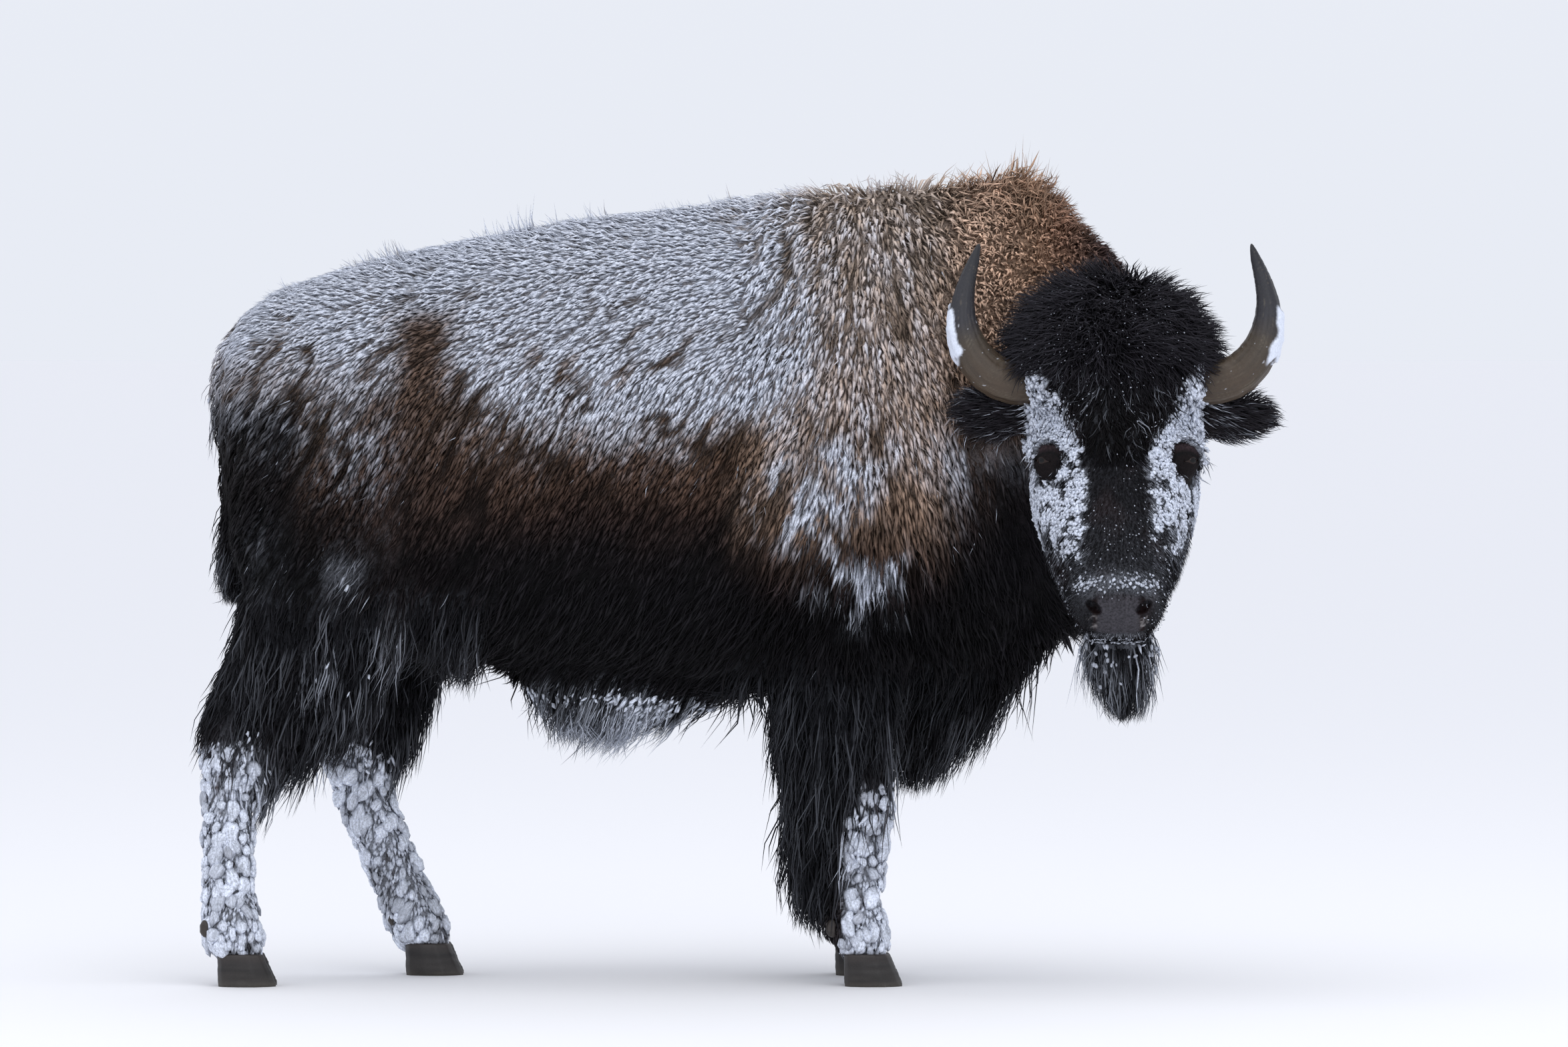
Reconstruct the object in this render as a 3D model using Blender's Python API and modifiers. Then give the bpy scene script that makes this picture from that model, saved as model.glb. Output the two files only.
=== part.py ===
# A standing American bison in winter coat, life size, with its head turned to its right.
# Metres, +Z up. The body faces +X and the face looks along -Y. The solids reach out to the tips
# of the coat. The flesh is lofted in lengths, fused into one form, then parted by thin cuts.

import math

import bmesh
import bpy
from mathutils import Matrix, Vector

# ---- driving dimensions -------------------------------------------------------------------
GAP = 0.0004  # clear space either side of a flat cut
CARVE_GAP = 0.001  # how far a rounded cutter is grown, to clear its neighbour at every facet
FUSE_VOXEL = 0.013  # grain of the fused flesh
FLESH_TRIANGLES = 1680
HAIR_TRIANGLES = 150  # the mop
FORE_TRACK = 0.16  # half the distance between the forefeet
HIND_TRACK = 0.165
HOOF_HEIGHT = 0.066
STEPS = 5  # rings between two stations of a loft

# The head: where the middle of the line between the horn roots stands, and how far below the
# horizontal the line from poll to nose points.
HEAD_AT = Vector((0.757, -0.41, 1.246))
HEAD_DROP = math.radians(62)
EYE_SPREAD = 0.141  # each eye's centre from the middle of the face
EYE_DOWN = 0.187  # along the face from the horn roots
EYE_DEEP = 0.012
EYE_RADIUS = 0.021
HORN_ROOT = 0.045  # radius of a horn where it leaves the skull


# ---- tools --------------------------------------------------------------------------------
def clear_scene():
    for obj in list(bpy.data.objects):
        bpy.data.objects.remove(obj, do_unlink=True)


def smooth_rows(rows, steps=STEPS):
    """Rows of numbers, made into more rows on a curve that passes through each of them."""
    ends = [rows[0], *rows, rows[-1]]
    found = []
    for i in range(1, len(ends) - 2):
        for k in range(steps):
            t = k / steps
            found.append(
                [
                    b + 0.5 * t * (c - a + t * (2 * a - 5 * b + 4 * c - d + t * (3 * b - a - 3 * c + d)))
                    for a, b, c, d in zip(*ends[i - 1 : i + 3])
                ]
            )
    return found + [list(rows[-1])]


def oval(middle, side, up, half, top, bottom, peak=2.0, keel=2.0, count=36):
    """A ring round middle: half wide each way, reaching top above it and bottom below it.

    peak and keel are the powers of the curve above and below: 2 is an ellipse, less is more
    pointed and more is squarer.
    """
    ring = []
    for k in range(count):
        angle = 2 * math.pi * k / count
        s, c = math.sin(angle), math.cos(angle)
        power, reach = (peak, top) if c > 0 else (keel, bottom)
        across = math.copysign(abs(s) ** (2 / power), s) * half
        along = math.copysign(abs(c) ** (2 / power), c) * reach
        ring.append(middle + side * across + up * along)
    return ring


def loft(name, rings):
    """A closed mesh through rings of the same number of points, in triangles, which stay flat."""
    shape = bmesh.new()
    loops = [[shape.verts.new(point) for point in ring] for ring in rings]
    for near, far in zip(loops, loops[1:]):
        for i in range(len(near)):
            j = (i + 1) % len(near)
            shape.faces.new((near[i], near[j], far[j], far[i]))
    shape.faces.new(loops[0])
    shape.faces.new(loops[-1])
    bmesh.ops.recalc_face_normals(shape, faces=shape.faces)
    bmesh.ops.triangulate(shape, faces=shape.faces)
    mesh = bpy.data.meshes.new(name)
    shape.to_mesh(mesh)
    shape.free()
    obj = bpy.data.objects.new(name, mesh)
    bpy.context.scene.collection.objects.link(obj)
    return obj


def ball(name, middle, radii, segments=12):
    """An ellipsoid."""
    shape = bmesh.new()
    bmesh.ops.create_uvsphere(shape, u_segments=segments, v_segments=segments // 2 + 1, radius=1)
    bmesh.ops.triangulate(shape, faces=shape.faces)
    mesh = bpy.data.meshes.new(name)
    shape.to_mesh(mesh)
    shape.free()
    obj = bpy.data.objects.new(name, mesh)
    bpy.context.scene.collection.objects.link(obj)
    mesh.transform(Matrix.Diagonal((*radii, 1)))
    mesh.transform(Matrix.Translation(middle))
    return obj


def limb(name, rows, track, side, count=24, steps=3):
    """A leg from rows of x, y as a share of the track, z, half depth fore and aft, half width.

    Each ring stands square to the leg's own line.
    """
    fine = smooth_rows(rows, steps)
    places = [Vector((x, side * y * track, z)) for x, y, z, _, _ in fine]
    rings = []
    for i, (x, y, z, deep, wide) in enumerate(fine):
        way = (places[min(i + 1, len(fine) - 1)] - places[max(i - 1, 0)]).normalized()
        across = (Vector((0, 1, 0)) - way * way.y).normalized()
        fore = across.cross(way).normalized()
        rings.append(oval(places[i], across, fore, wide, deep, deep, 2.2, 2.2, count))
    return loft(name, rings)


def tube(name, rows, count=16):
    """A round tapered form along rows of x, y, z, radius."""
    fine = smooth_rows(rows, 2)
    places = [Vector(row[:3]) for row in fine]
    rings = []
    across = Vector((0, 1, 0))
    for i, row in enumerate(fine):
        way = (places[min(i + 1, len(fine) - 1)] - places[max(i - 1, 0)]).normalized()
        across = (across - way * across.dot(way)).normalized()
        rings.append(oval(places[i], across, way.cross(across), row[3], row[3], row[3], count=count))
    return loft(name, rings)


def realise(obj):
    """Applies the object's modifiers."""
    graph = bpy.context.evaluated_depsgraph_get()
    mesh = bpy.data.meshes.new_from_object(obj.evaluated_get(graph))
    obj.modifiers.clear()
    obj.data = mesh
    return obj


def duplicate(obj, name):
    copy = bpy.data.objects.new(name, obj.data.copy())
    bpy.context.scene.collection.objects.link(copy)
    return copy


def discard(*objects):
    for obj in objects:
        bpy.data.objects.remove(obj, do_unlink=True)


def fuse(name, shapes, voxel, smoothing, triangles):
    """One closed form out of overlapping ones, smoothed and then thinned to a triangle count."""
    merged = bmesh.new()
    for shape in shapes:
        merged.from_mesh(shape.data)
    mesh = bpy.data.meshes.new(name)
    merged.to_mesh(mesh)
    merged.free()
    discard(*shapes)
    obj = bpy.data.objects.new(name, mesh)
    bpy.context.scene.collection.objects.link(obj)
    grain = obj.modifiers.new("grain", "REMESH")
    grain.mode = "VOXEL"
    grain.voxel_size = voxel
    soften = obj.modifiers.new("soften", "SMOOTH")
    soften.factor = 0.5
    soften.iterations = smoothing
    realise(obj)
    count = sum(len(face.vertices) - 2 for face in obj.data.polygons)
    thin = obj.modifiers.new("thin", "DECIMATE")
    thin.ratio = min(1.0, triangles / count)
    realise(obj)
    whole = obj.modifiers.new("whole", "TRIANGULATE")
    whole.min_vertices = 4
    return keep_largest(realise(obj))


def keep_largest(obj):
    """Drops the loose crumbs that a cut can leave, keeping the largest body."""
    shape = bmesh.new()
    shape.from_mesh(obj.data)
    bmesh.ops.remove_doubles(shape, verts=shape.verts, dist=0.00002)
    groups, seen = [], set()
    for start in shape.faces:
        if start in seen:
            continue
        group, stack = [], [start]
        seen.add(start)
        while stack:
            face = stack.pop()
            group.append(face)
            for edge in face.edges:
                for other in edge.link_faces:
                    if other not in seen:
                        seen.add(other)
                        stack.append(other)
        groups.append(group)
    groups.sort(key=lambda group: sum(face.calc_area() for face in group), reverse=True)
    for group in groups[1:]:
        bmesh.ops.delete(shape, geom=group, context="FACES")
    bmesh.ops.delete(shape, geom=[v for v in shape.verts if not v.link_faces], context="VERTS")
    shape.to_mesh(obj.data)
    shape.free()
    return obj


def grow(obj, gap):
    """Moves each face of obj out by the gap, further at a sharp corner."""
    shape = bmesh.new()
    shape.from_mesh(obj.data)
    shape.normal_update()
    moves = [(v, v.normal * gap * min(v.calc_shell_factor(), 4)) for v in shape.verts]
    for v, move in moves:
        v.co += move
    shape.to_mesh(obj.data)
    shape.free()


def carve(obj, cutter, gap=CARVE_GAP, operation="DIFFERENCE"):
    """Cuts obj by the cutter, grown by the gap."""
    tool = duplicate(cutter, "tool")
    if gap:
        grow(tool, gap)
    cut = obj.modifiers.new("cut", "BOOLEAN")
    cut.operation = operation
    cut.object = tool
    realise(obj)
    discard(tool)
    return keep_largest(obj)


def slab(name, middle, normal, reach=3.0, turn=Vector((0, 0, 1))):
    """A large block that fills the space in front of the plane through middle."""
    shape = bmesh.new()
    bmesh.ops.create_cube(shape, size=reach)
    mesh = bpy.data.meshes.new(name)
    shape.to_mesh(mesh)
    shape.free()
    ahead = Vector(normal).normalized()
    across = turn.cross(ahead).normalized()
    frame = Matrix((ahead, across, ahead.cross(across))).transposed().to_4x4()
    mesh.transform(Matrix.Translation(Vector(middle) + ahead * reach / 2) @ frame)
    obj = bpy.data.objects.new(name, mesh)
    bpy.context.scene.collection.objects.link(obj)
    return obj


def block(name, low, high):
    """A box from its lowest to its highest corner."""
    shape = bmesh.new()
    bmesh.ops.create_cube(shape, size=1)
    mesh = bpy.data.meshes.new(name)
    shape.to_mesh(mesh)
    shape.free()
    low, high = Vector(low), Vector(high)
    mesh.transform(Matrix.Translation((low + high) / 2) @ Matrix.Diagonal((*(high - low), 1)))
    obj = bpy.data.objects.new(name, mesh)
    bpy.context.scene.collection.objects.link(obj)
    return obj


def part_off(body, name, cutter):
    """Takes the piece of body inside the cutter as its own object, leaving a thin gap."""
    piece = duplicate(body, name)
    carve(piece, cutter, gap=0, operation="INTERSECT")
    carve(body, cutter, gap=GAP)
    discard(cutter)
    return piece


# ---- materials ----------------------------------------------------------------------------
def coat(name, colour, roughness=0.85):
    made = bpy.data.materials.new(name)
    made.use_nodes = True
    shader = made.node_tree.nodes["Principled BSDF"]
    shader.inputs["Base Color"].default_value = (*colour, 1)
    shader.inputs["Roughness"].default_value = roughness
    shader.inputs["Metallic"].default_value = 0
    return made


def paint(obj, made):
    obj.data.materials.clear()
    obj.data.materials.append(made)
    obj.data.shade_smooth()
    obj.data.set_sharp_from_angle(angle=math.radians(40))


# ---- flesh --------------------------------------------------------------------------------
def trunk():
    """Rump to chest. x, top, bottom, half width, height of the widest place, peak, keel."""
    rows = [
        (-1.068, 1.25, 1.06, 0.07, 1.15, 2.0, 2.0),
        (-1.045, 1.33, 0.93, 0.155, 1.14, 2.0, 2.0),
        (-0.98, 1.40, 0.80, 0.225, 1.12, 1.9, 2.0),
        (-0.88, 1.442, 0.71, 0.265, 1.10, 1.9, 2.0),
        (-0.73, 1.488, 0.665, 0.285, 1.08, 1.85, 2.0),
        (-0.54, 1.528, 0.645, 0.305, 1.04, 1.8, 2.0),
        (-0.34, 1.566, 0.615, 0.335, 1.00, 1.7, 2.1),
        (-0.12, 1.592, 0.595, 0.35, 0.98, 1.6, 2.1),
        (0.10, 1.632, 0.585, 0.345, 0.98, 1.5, 2.1),
        (0.30, 1.649, 0.565, 0.335, 1.00, 1.45, 2.0),
        (0.46, 1.662, 0.57, 0.315, 1.02, 1.4, 1.9),
        (0.58, 1.683, 0.62, 0.27, 1.06, 1.4, 1.8),
        (0.66, 1.625, 0.72, 0.205, 1.10, 1.5, 1.8),
        (0.72, 1.52, 0.86, 0.12, 1.16, 1.7, 1.8),
    ]
    rings = []
    for x, top, bottom, half, wide_at, peak, keel in smooth_rows(rows):
        middle = Vector((x, 0, wide_at))
        rings.append(
            oval(middle, Vector((0, 1, 0)), Vector((0, 0, 1)), half, top - wide_at, wide_at - bottom, peak, keel)
        )
    return loft("trunk", rings)


def neck():
    """Shoulders to the back of the head, bending to the right. x, y, z, heading, half width,
    top, bottom, peak: the heading turns from +X towards -Y."""
    rows = [
        (0.40, 0.00, 1.08, 0, 0.28, 0.56, 0.46, 1.5),
        (0.55, -0.01, 1.10, 12, 0.26, 0.55, 0.45, 1.5),
        (0.660, -0.07, 1.10, 38, 0.235, 0.50, 0.41, 1.6),
        (0.732, -0.165, 1.09, 62, 0.205, 0.42, 0.35, 1.7),
        (0.752, -0.26, 1.08, 80, 0.165, 0.35, 0.31, 1.8),
        (0.757, -0.34, 1.07, 90, 0.125, 0.28, 0.26, 1.9),
    ]
    rings = []
    for x, y, z, heading, half, top, bottom, peak in smooth_rows(rows):
        turn = math.radians(heading)
        across = Vector((math.sin(turn), math.cos(turn), 0))
        rings.append(oval(Vector((x, y, z)), across, Vector((0, 0, 1)), half, top, bottom, peak, 1.9))
    return loft("neck", rings)


def head_frame():
    """The head's own axes: its side along +X, then down the face, then out of the forehead."""
    down = Vector((0, -math.cos(HEAD_DROP), -math.sin(HEAD_DROP)))
    out = Vector((0, -math.sin(HEAD_DROP), math.cos(HEAD_DROP)))
    return Vector((1, 0, 0)), down, out


def on_head(side, down, out):
    """A point given in the head's own axes."""
    across, along, away = head_frame()
    return HEAD_AT + across * side + along * down + away * out


def head_loft(name, rows, count=32):
    """A form along the face: down, then how far out its front and its back stand, half width,
    peak and keel."""
    across, _, away = head_frame()
    rings = []
    for down, front, back, half, peak, keel in smooth_rows(rows):
        middle = on_head(0, down, (front * 0.4 + back * 0.6))
        level = front * 0.4 + back * 0.6
        rings.append(oval(middle, across, away, half, front - level, level - back, peak, keel, count))
    return loft(name, rings)


def skull():
    return head_loft(
        "skull",
        [
            (-0.12, -0.03, -0.18, 0.085, 2.0, 2.0),
            (-0.08, 0.02, -0.25, 0.128, 2.2, 2.0),
            (0.00, 0.05, -0.29, 0.152, 2.4, 2.0),
            (0.09, 0.055, -0.31, 0.160, 2.4, 2.0),
            (0.185, 0.045, -0.30, 0.171, 2.2, 2.0),
            (0.27, 0.032, -0.26, 0.161, 2.2, 2.0),
            (0.35, 0.022, -0.215, 0.140, 2.3, 2.1),
            (0.42, 0.014, -0.18, 0.119, 2.5, 2.2),
            (0.48, 0.006, -0.155, 0.103, 2.7, 2.3),
            (0.525, -0.012, -0.135, 0.087, 2.7, 2.3),
            (0.55, -0.036, -0.115, 0.062, 2.4, 2.2),
        ],
    )


def brow(side):
    """The bony ring round an eye, standing out from the side of the face."""
    return ball("brow", on_head(side * 0.122, EYE_DOWN - 0.006, -0.038), (0.043, 0.05, 0.058))


def hind_leg(side, forward):
    """The right hind leg stands back with its shank upright, the left one steps forward."""
    if forward:
        rows = [
            (-0.79, 0.80, 1.17, 0.20, 0.10),
            (-0.78, 1.00, 0.98, 0.215, 0.12),
            (-0.745, 1.06, 0.82, 0.185, 0.115),
            (-0.770, 1.04, 0.66, 0.125, 0.088),
            (-0.810, 1.02, 0.52, 0.088, 0.066),
            (-0.788, 1.00, 0.41, 0.066, 0.054),
            (-0.742, 1.00, 0.29, 0.060, 0.050),
            (-0.698, 1.00, 0.18, 0.058, 0.050),
            (-0.664, 1.00, 0.11, 0.063, 0.058),
            (-0.640, 1.00, 0.045, 0.054, 0.052),
        ]
    else:
        rows = [
            (-0.82, 0.80, 1.17, 0.20, 0.10),
            (-0.82, 1.00, 0.98, 0.225, 0.12),
            (-0.825, 1.06, 0.82, 0.215, 0.12),
            (-0.905, 1.05, 0.67, 0.145, 0.092),
            (-1.005, 1.02, 0.54, 0.092, 0.068),
            (-1.032, 1.00, 0.43, 0.067, 0.056),
            (-1.036, 1.00, 0.30, 0.056, 0.052),
            (-1.036, 1.00, 0.18, 0.056, 0.052),
            (-1.028, 1.00, 0.11, 0.063, 0.058),
            (-1.010, 1.00, 0.045, 0.054, 0.052),
        ]
    return limb("hind_leg", rows, HIND_TRACK, side)


def fore_leg(side, back):
    """A foreleg, set back along the body by a distance."""
    rows = [
        (0.26, 1.15, 0.98, 0.165, 0.10),
        (0.235, 1.20, 0.78, 0.140, 0.105),
        (0.235, 1.18, 0.62, 0.105, 0.085),
        (0.244, 1.10, 0.47, 0.080, 0.068),
        (0.250, 1.04, 0.345, 0.070, 0.062),
        (0.247, 1.00, 0.26, 0.057, 0.050),
        (0.238, 1.00, 0.17, 0.054, 0.047),
        (0.242, 1.00, 0.11, 0.062, 0.056),
        (0.262, 1.00, 0.045, 0.054, 0.052),
    ]
    return limb("fore_leg", [(x - back, *rest) for x, *rest in rows], FORE_TRACK, side)


LEFT, RIGHT = 1, -1
SET_BACK = {LEFT: 0.016, RIGHT: 0.0}  # the left forefoot stands a little behind the right one
HOOF_TOES = {
    "hind_left": Vector((-0.628, HIND_TRACK, 0)),
    "hind_right": Vector((-0.998, -HIND_TRACK, 0)),
    "fore_left": Vector((0.274 - SET_BACK[LEFT], FORE_TRACK, 0)),
    "fore_right": Vector((0.274, -FORE_TRACK, 0)),
}


def flesh():
    """Trunk, neck, head and legs, fused into one form that is flat at the top of each hoof."""
    shapes = [trunk(), neck(), skull(), brow(LEFT), brow(RIGHT)]
    shapes += [hind_leg(LEFT, True), hind_leg(RIGHT, False)]
    shapes += [fore_leg(side, SET_BACK[side]) for side in (LEFT, RIGHT)]
    body = fuse("flesh", shapes, FUSE_VOXEL, 8, FLESH_TRIANGLES)
    ground = block("ground", (-2, -2, -1), (2, 2, HOOF_HEIGHT + GAP))
    carve(body, ground, gap=0)
    discard(ground)
    return body


# ---- long hair ----------------------------------------------------------------------------
def crown_hair():
    """The mop over the forehead, from above the poll down to between the eyes."""
    shape = head_loft(
        "crown_hair",
        [
            (-0.248, 0.020, -0.08, 0.090, 2.0, 2.0),
            (-0.205, 0.072, -0.14, 0.168, 2.0, 2.0),
            (-0.13, 0.110, -0.17, 0.216, 2.0, 2.0),
            (-0.04, 0.132, -0.17, 0.232, 2.0, 2.0),
            (0.03, 0.132, -0.10, 0.214, 2.0, 2.0),
            (0.09, 0.125, -0.03, 0.165, 2.0, 2.0),
            (0.16, 0.110, 0.01, 0.105, 2.0, 2.0),
            (0.215, 0.085, 0.02, 0.058, 2.0, 2.0),
        ],
    )
    return fuse("crown_hair", [shape], 0.012, 2, HAIR_TRIANGLES)


def beard():
    """The tuft under the chin, hanging straight down."""
    rows = [
        (0.757, -0.455, 0.82, 0.062, 0.070),
        (0.758, -0.475, 0.75, 0.085, 0.100),
        (0.762, -0.495, 0.68, 0.080, 0.090),
        (0.768, -0.515, 0.62, 0.060, 0.062),
        (0.774, -0.525, 0.560, 0.022, 0.022),
    ]
    rings = [
        oval(Vector((x, y, z)), Vector((1, 0, 0)), Vector((0, 1, 0)), half, deep, deep, count=12)
        for x, y, z, half, deep in smooth_rows(rows, 2)
    ]
    return loft("beard", rings)


def curtain(name, rows, count=14):
    """A hanging mass of hair, wide along the body. x, y, top, bottom, half thickness."""
    rings = []
    for x, y, top, bottom, half in smooth_rows(rows, 2):
        level = bottom + (top - bottom) * 0.6
        middle = Vector((x, y, level))
        rings.append(
            oval(middle, Vector((0, 1, 0)), Vector((0, 0, 1)), half, top - level, level - bottom, 2.0, 1.5, count)
        )
    return loft(name, rings)


def belly_hair():
    return curtain(
        "belly_hair",
        [
            (-0.58, 0, 0.74, 0.655, 0.05),
            (-0.48, 0, 0.72, 0.610, 0.11),
            (-0.35, 0, 0.70, 0.540, 0.14),
            (-0.20, 0, 0.70, 0.520, 0.15),
            (-0.06, 0, 0.70, 0.550, 0.15),
            (0.05, 0, 0.70, 0.560, 0.12),
        ],
    )


def brisket_hair():
    """The apron that hangs under the chest and throat, in front of the forelegs."""
    return curtain(
        "brisket_hair",
        [
            (0.29, -0.005, 0.70, 0.46, 0.05),
            (0.38, -0.005, 0.72, 0.415, 0.10),
            (0.46, -0.01, 0.74, 0.465, 0.13),
            (0.53, -0.03, 0.78, 0.53, 0.13),
            (0.60, -0.07, 0.82, 0.612, 0.11),
            (0.67, -0.12, 0.86, 0.685, 0.06),
        ],
    )


def fore_hair(side):
    """The shaggy hair round a forearm, longest behind it, reaching down past the knee."""
    rows = [
        (0.240, 1.05, 0.82, 0.100, 0.060),
        (0.225, 1.22, 0.72, 0.150, 0.112),
        (0.203, 1.22, 0.60, 0.152, 0.112),
        (0.202, 1.16, 0.48, 0.138, 0.100),
        (0.198, 1.12, 0.38, 0.124, 0.086),
        (0.170, 1.08, 0.28, 0.092, 0.068),
        (0.160, 1.04, 0.20, 0.058, 0.046),
        (0.172, 1.02, 0.135, 0.020, 0.020),
    ]
    return limb("fore_hair", [(x - SET_BACK[side], *rest) for x, *rest in rows], FORE_TRACK, side, 10, 2)


def hind_hair(side, forward):
    """The long hair of a thigh, hanging in front of the shank as far as the hock."""
    if forward:
        rows = [
            (-0.740, 0.95, 0.82, 0.110, 0.060),
            (-0.742, 1.04, 0.72, 0.160, 0.112),
            (-0.752, 1.04, 0.62, 0.150, 0.104),
            (-0.772, 1.02, 0.52, 0.130, 0.090),
            (-0.782, 1.00, 0.43, 0.090, 0.070),
            (-0.770, 1.00, 0.36, 0.064, 0.050),
        ]
    else:
        rows = [
            (-0.830, 0.95, 0.82, 0.120, 0.060),
            (-0.845, 1.04, 0.72, 0.175, 0.112),
            (-0.895, 1.04, 0.61, 0.160, 0.104),
            (-0.955, 1.02, 0.52, 0.115, 0.090),
            (-0.990, 1.00, 0.43, 0.072, 0.070),
            (-1.014, 1.00, 0.365, 0.046, 0.050),
        ]
    return limb("hind_hair", rows, HIND_TRACK, side, 10, 2)


# ---- small parts --------------------------------------------------------------------------
def horn(side):
    """Out of the side of the skull, then up, with the tip drawn in."""
    route = [  # side, height above the root, forward, radius as a share of the root's
        (0.150, 0.000, 0.000, 1.00),
        (0.205, 0.000, 0.004, 1.00),
        (0.256, 0.022, 0.008, 0.95),
        (0.294, 0.072, 0.010, 0.82),
        (0.308, 0.135, 0.006, 0.62),
        (0.300, 0.195, -0.004, 0.43),
        (0.283, 0.248, -0.014, 0.26),
        (0.273, 0.280, -0.020, 0.09),
    ]
    root = on_head(0, 0.0, -0.035)
    rows = [
        (root.x + side * out, root.y - ahead, root.z + up, HORN_ROOT * share) for out, up, ahead, share in route
    ]
    return tube("horn", rows, 10)


def ear(side):
    """A thick leaf that stands out sideways below the horn, drooping and turned forward."""
    rows = [  # along, half width, half thickness
        (0.00, 0.030, 0.026),
        (0.04, 0.046, 0.032),
        (0.09, 0.058, 0.034),
        (0.145, 0.057, 0.030),
        (0.180, 0.040, 0.022),
        (0.200, 0.014, 0.010),
    ]
    root = on_head(side * 0.130, 0.050, -0.10)
    along = Vector((side * 0.965, 0.16, 0.09 - 0.04 * side)).normalized()
    face = Vector((side * 0.1, -0.80, -0.45))
    face = (face - along * face.dot(along)).normalized()
    edge = along.cross(face).normalized()
    rings = [
        oval(root + along * a, edge, face, half, thick, thick, count=10)
        for a, half, thick in smooth_rows(rows, 2)
    ]
    return loft("ear", rings)


def eye(side):
    return ball("eye", on_head(side * EYE_SPREAD, EYE_DOWN, -EYE_DEEP), (EYE_RADIUS,) * 3, 10)


def tail():
    rows = [
        (-0.990, 0, 1.350, 0.034),
        (-1.035, 0, 1.31, 0.036),
        (-1.058, -0.004, 1.22, 0.034),
        (-1.052, -0.012, 1.10, 0.032),
        (-1.040, -0.022, 0.98, 0.034),
        (-1.032, -0.030, 0.90, 0.040),
        (-1.034, -0.036, 0.83, 0.034),
        (-1.042, -0.040, 0.775, 0.010),
    ]
    return tube("tail", rows, 8)


def hoof_claw(name, toe, side):
    """Half of a cloven hoof: a flat sole, an upright inner wall and a sloping front."""
    length, width, split = 0.124, 0.054, 0.004
    rings = []
    for share in (0.0, 0.12, 0.5, 1.0):
        height = share * HOOF_HEIGHT
        back = 0.030 * share  # the front slopes back as it rises
        ring = []
        for k in range(10):
            angle = 2 * math.pi * k / 10
            x = math.cos(angle) * (length - back) / 2 * (1.0 if share else 0.97)
            y = math.sin(angle) * width / 2 * (1 - 0.06 * share)
            if math.cos(angle) > 0.5:  # the toe is drawn in towards the other claw
                y -= 0.006 * (1 - share)
            ring.append(Vector((toe.x + x - back / 2, toe.y + side * (width / 2 + split / 2 + y), height)))
        rings.append(ring)
    return loft(name, rings)


def dewclaw(name, toe, side):
    return ball(
        name,
        Vector((toe.x - 0.083, toe.y + side * 0.030, 0.118)),
        (0.016, 0.013, 0.020),
        8,
    )


# ---- assembly -----------------------------------------------------------------------------
def build():
    clear_scene()
    body = flesh()
    made = {}

    for side, word in ((LEFT, "left"), (RIGHT, "right")):
        socket = eye(side)
        carve(body, socket)
        made[f"eye_{word}"] = socket
        for name, shape in (("horn", horn(side)), ("ear", ear(side))):
            made[f"{name}_{word}"] = carve(shape, body)
    made["crown_hair"] = carve(crown_hair(), body)
    for name in ("horn_left", "horn_right", "ear_left", "ear_right", "eye_left", "eye_right"):
        carve(made["crown_hair"], made[name])
    for side, word in ((LEFT, "left"), (RIGHT, "right")):
        carve(made[f"ear_{word}"], made[f"horn_{word}"])
    made["beard"] = carve(beard(), body)
    made["tail"] = carve(tail(), body)
    for side, word in ((LEFT, "left"), (RIGHT, "right")):
        made[f"fore_hair_{word}"] = carve(fore_hair(side), body)
        made[f"hind_hair_{word}"] = carve(hind_hair(side, side == LEFT), body)
    made["belly_hair"] = carve(belly_hair(), body)
    made["brisket_hair"] = carve(brisket_hair(), body)
    for word in ("left", "right"):
        carve(made["belly_hair"], made[f"fore_hair_{word}"])
        carve(made["belly_hair"], made[f"hind_hair_{word}"])
        carve(made["brisket_hair"], made[f"fore_hair_{word}"])

    beyond_neck = slab("beyond_neck", (0.575, 0, 1.1), (math.cos(0.3), -math.sin(0.3), 0))
    made["neck"] = part_off(body, "neck", beyond_neck)
    _, down, out = head_frame()
    behind_jaw = slab("behind_jaw", on_head(0, 0.0, -0.19), out * 0.72 + down * 0.69)
    made["head"] = part_off(made["neck"], "head", behind_jaw)
    for side, word in ((LEFT, "left"), (RIGHT, "right")):
        y_low, y_high = sorted((side * 0.055, side * 0.6))
        hind = block("hind", (-1.3, y_low, -0.1), (-0.50, y_high, 0.80))
        made[f"hind_leg_{word}"] = part_off(body, f"hind_leg_{word}", hind)
        fore = block("fore", (-0.02, y_low, -0.1), (0.50, y_high, 0.665))
        made[f"foreleg_{word}"] = part_off(body, f"foreleg_{word}", fore)
    made["shoulders"] = part_off(body, "shoulders", slab("ahead", (0.02, 0, 1), (1, 0, 0)))
    made["hindquarters"] = part_off(body, "hindquarters", slab("behind", (-0.58, 0, 1), (-1, 0, 0)))
    made["barrel"] = body

    for foot, toe in HOOF_TOES.items():
        leg = made[("hind_leg_" if "hind" in foot else "foreleg_") + foot.split("_")[1]]
        for side, word in ((1, "outer"), (-1, "inner")):
            outward = side * (1 if toe.y > 0 else -1)
            made[f"hoof_{foot}_{word}"] = hoof_claw("hoof", toe, outward)
            made[f"dewclaw_{foot}_{word}"] = carve(dewclaw("dewclaw", toe, outward), leg)

    finish(made)


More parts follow.
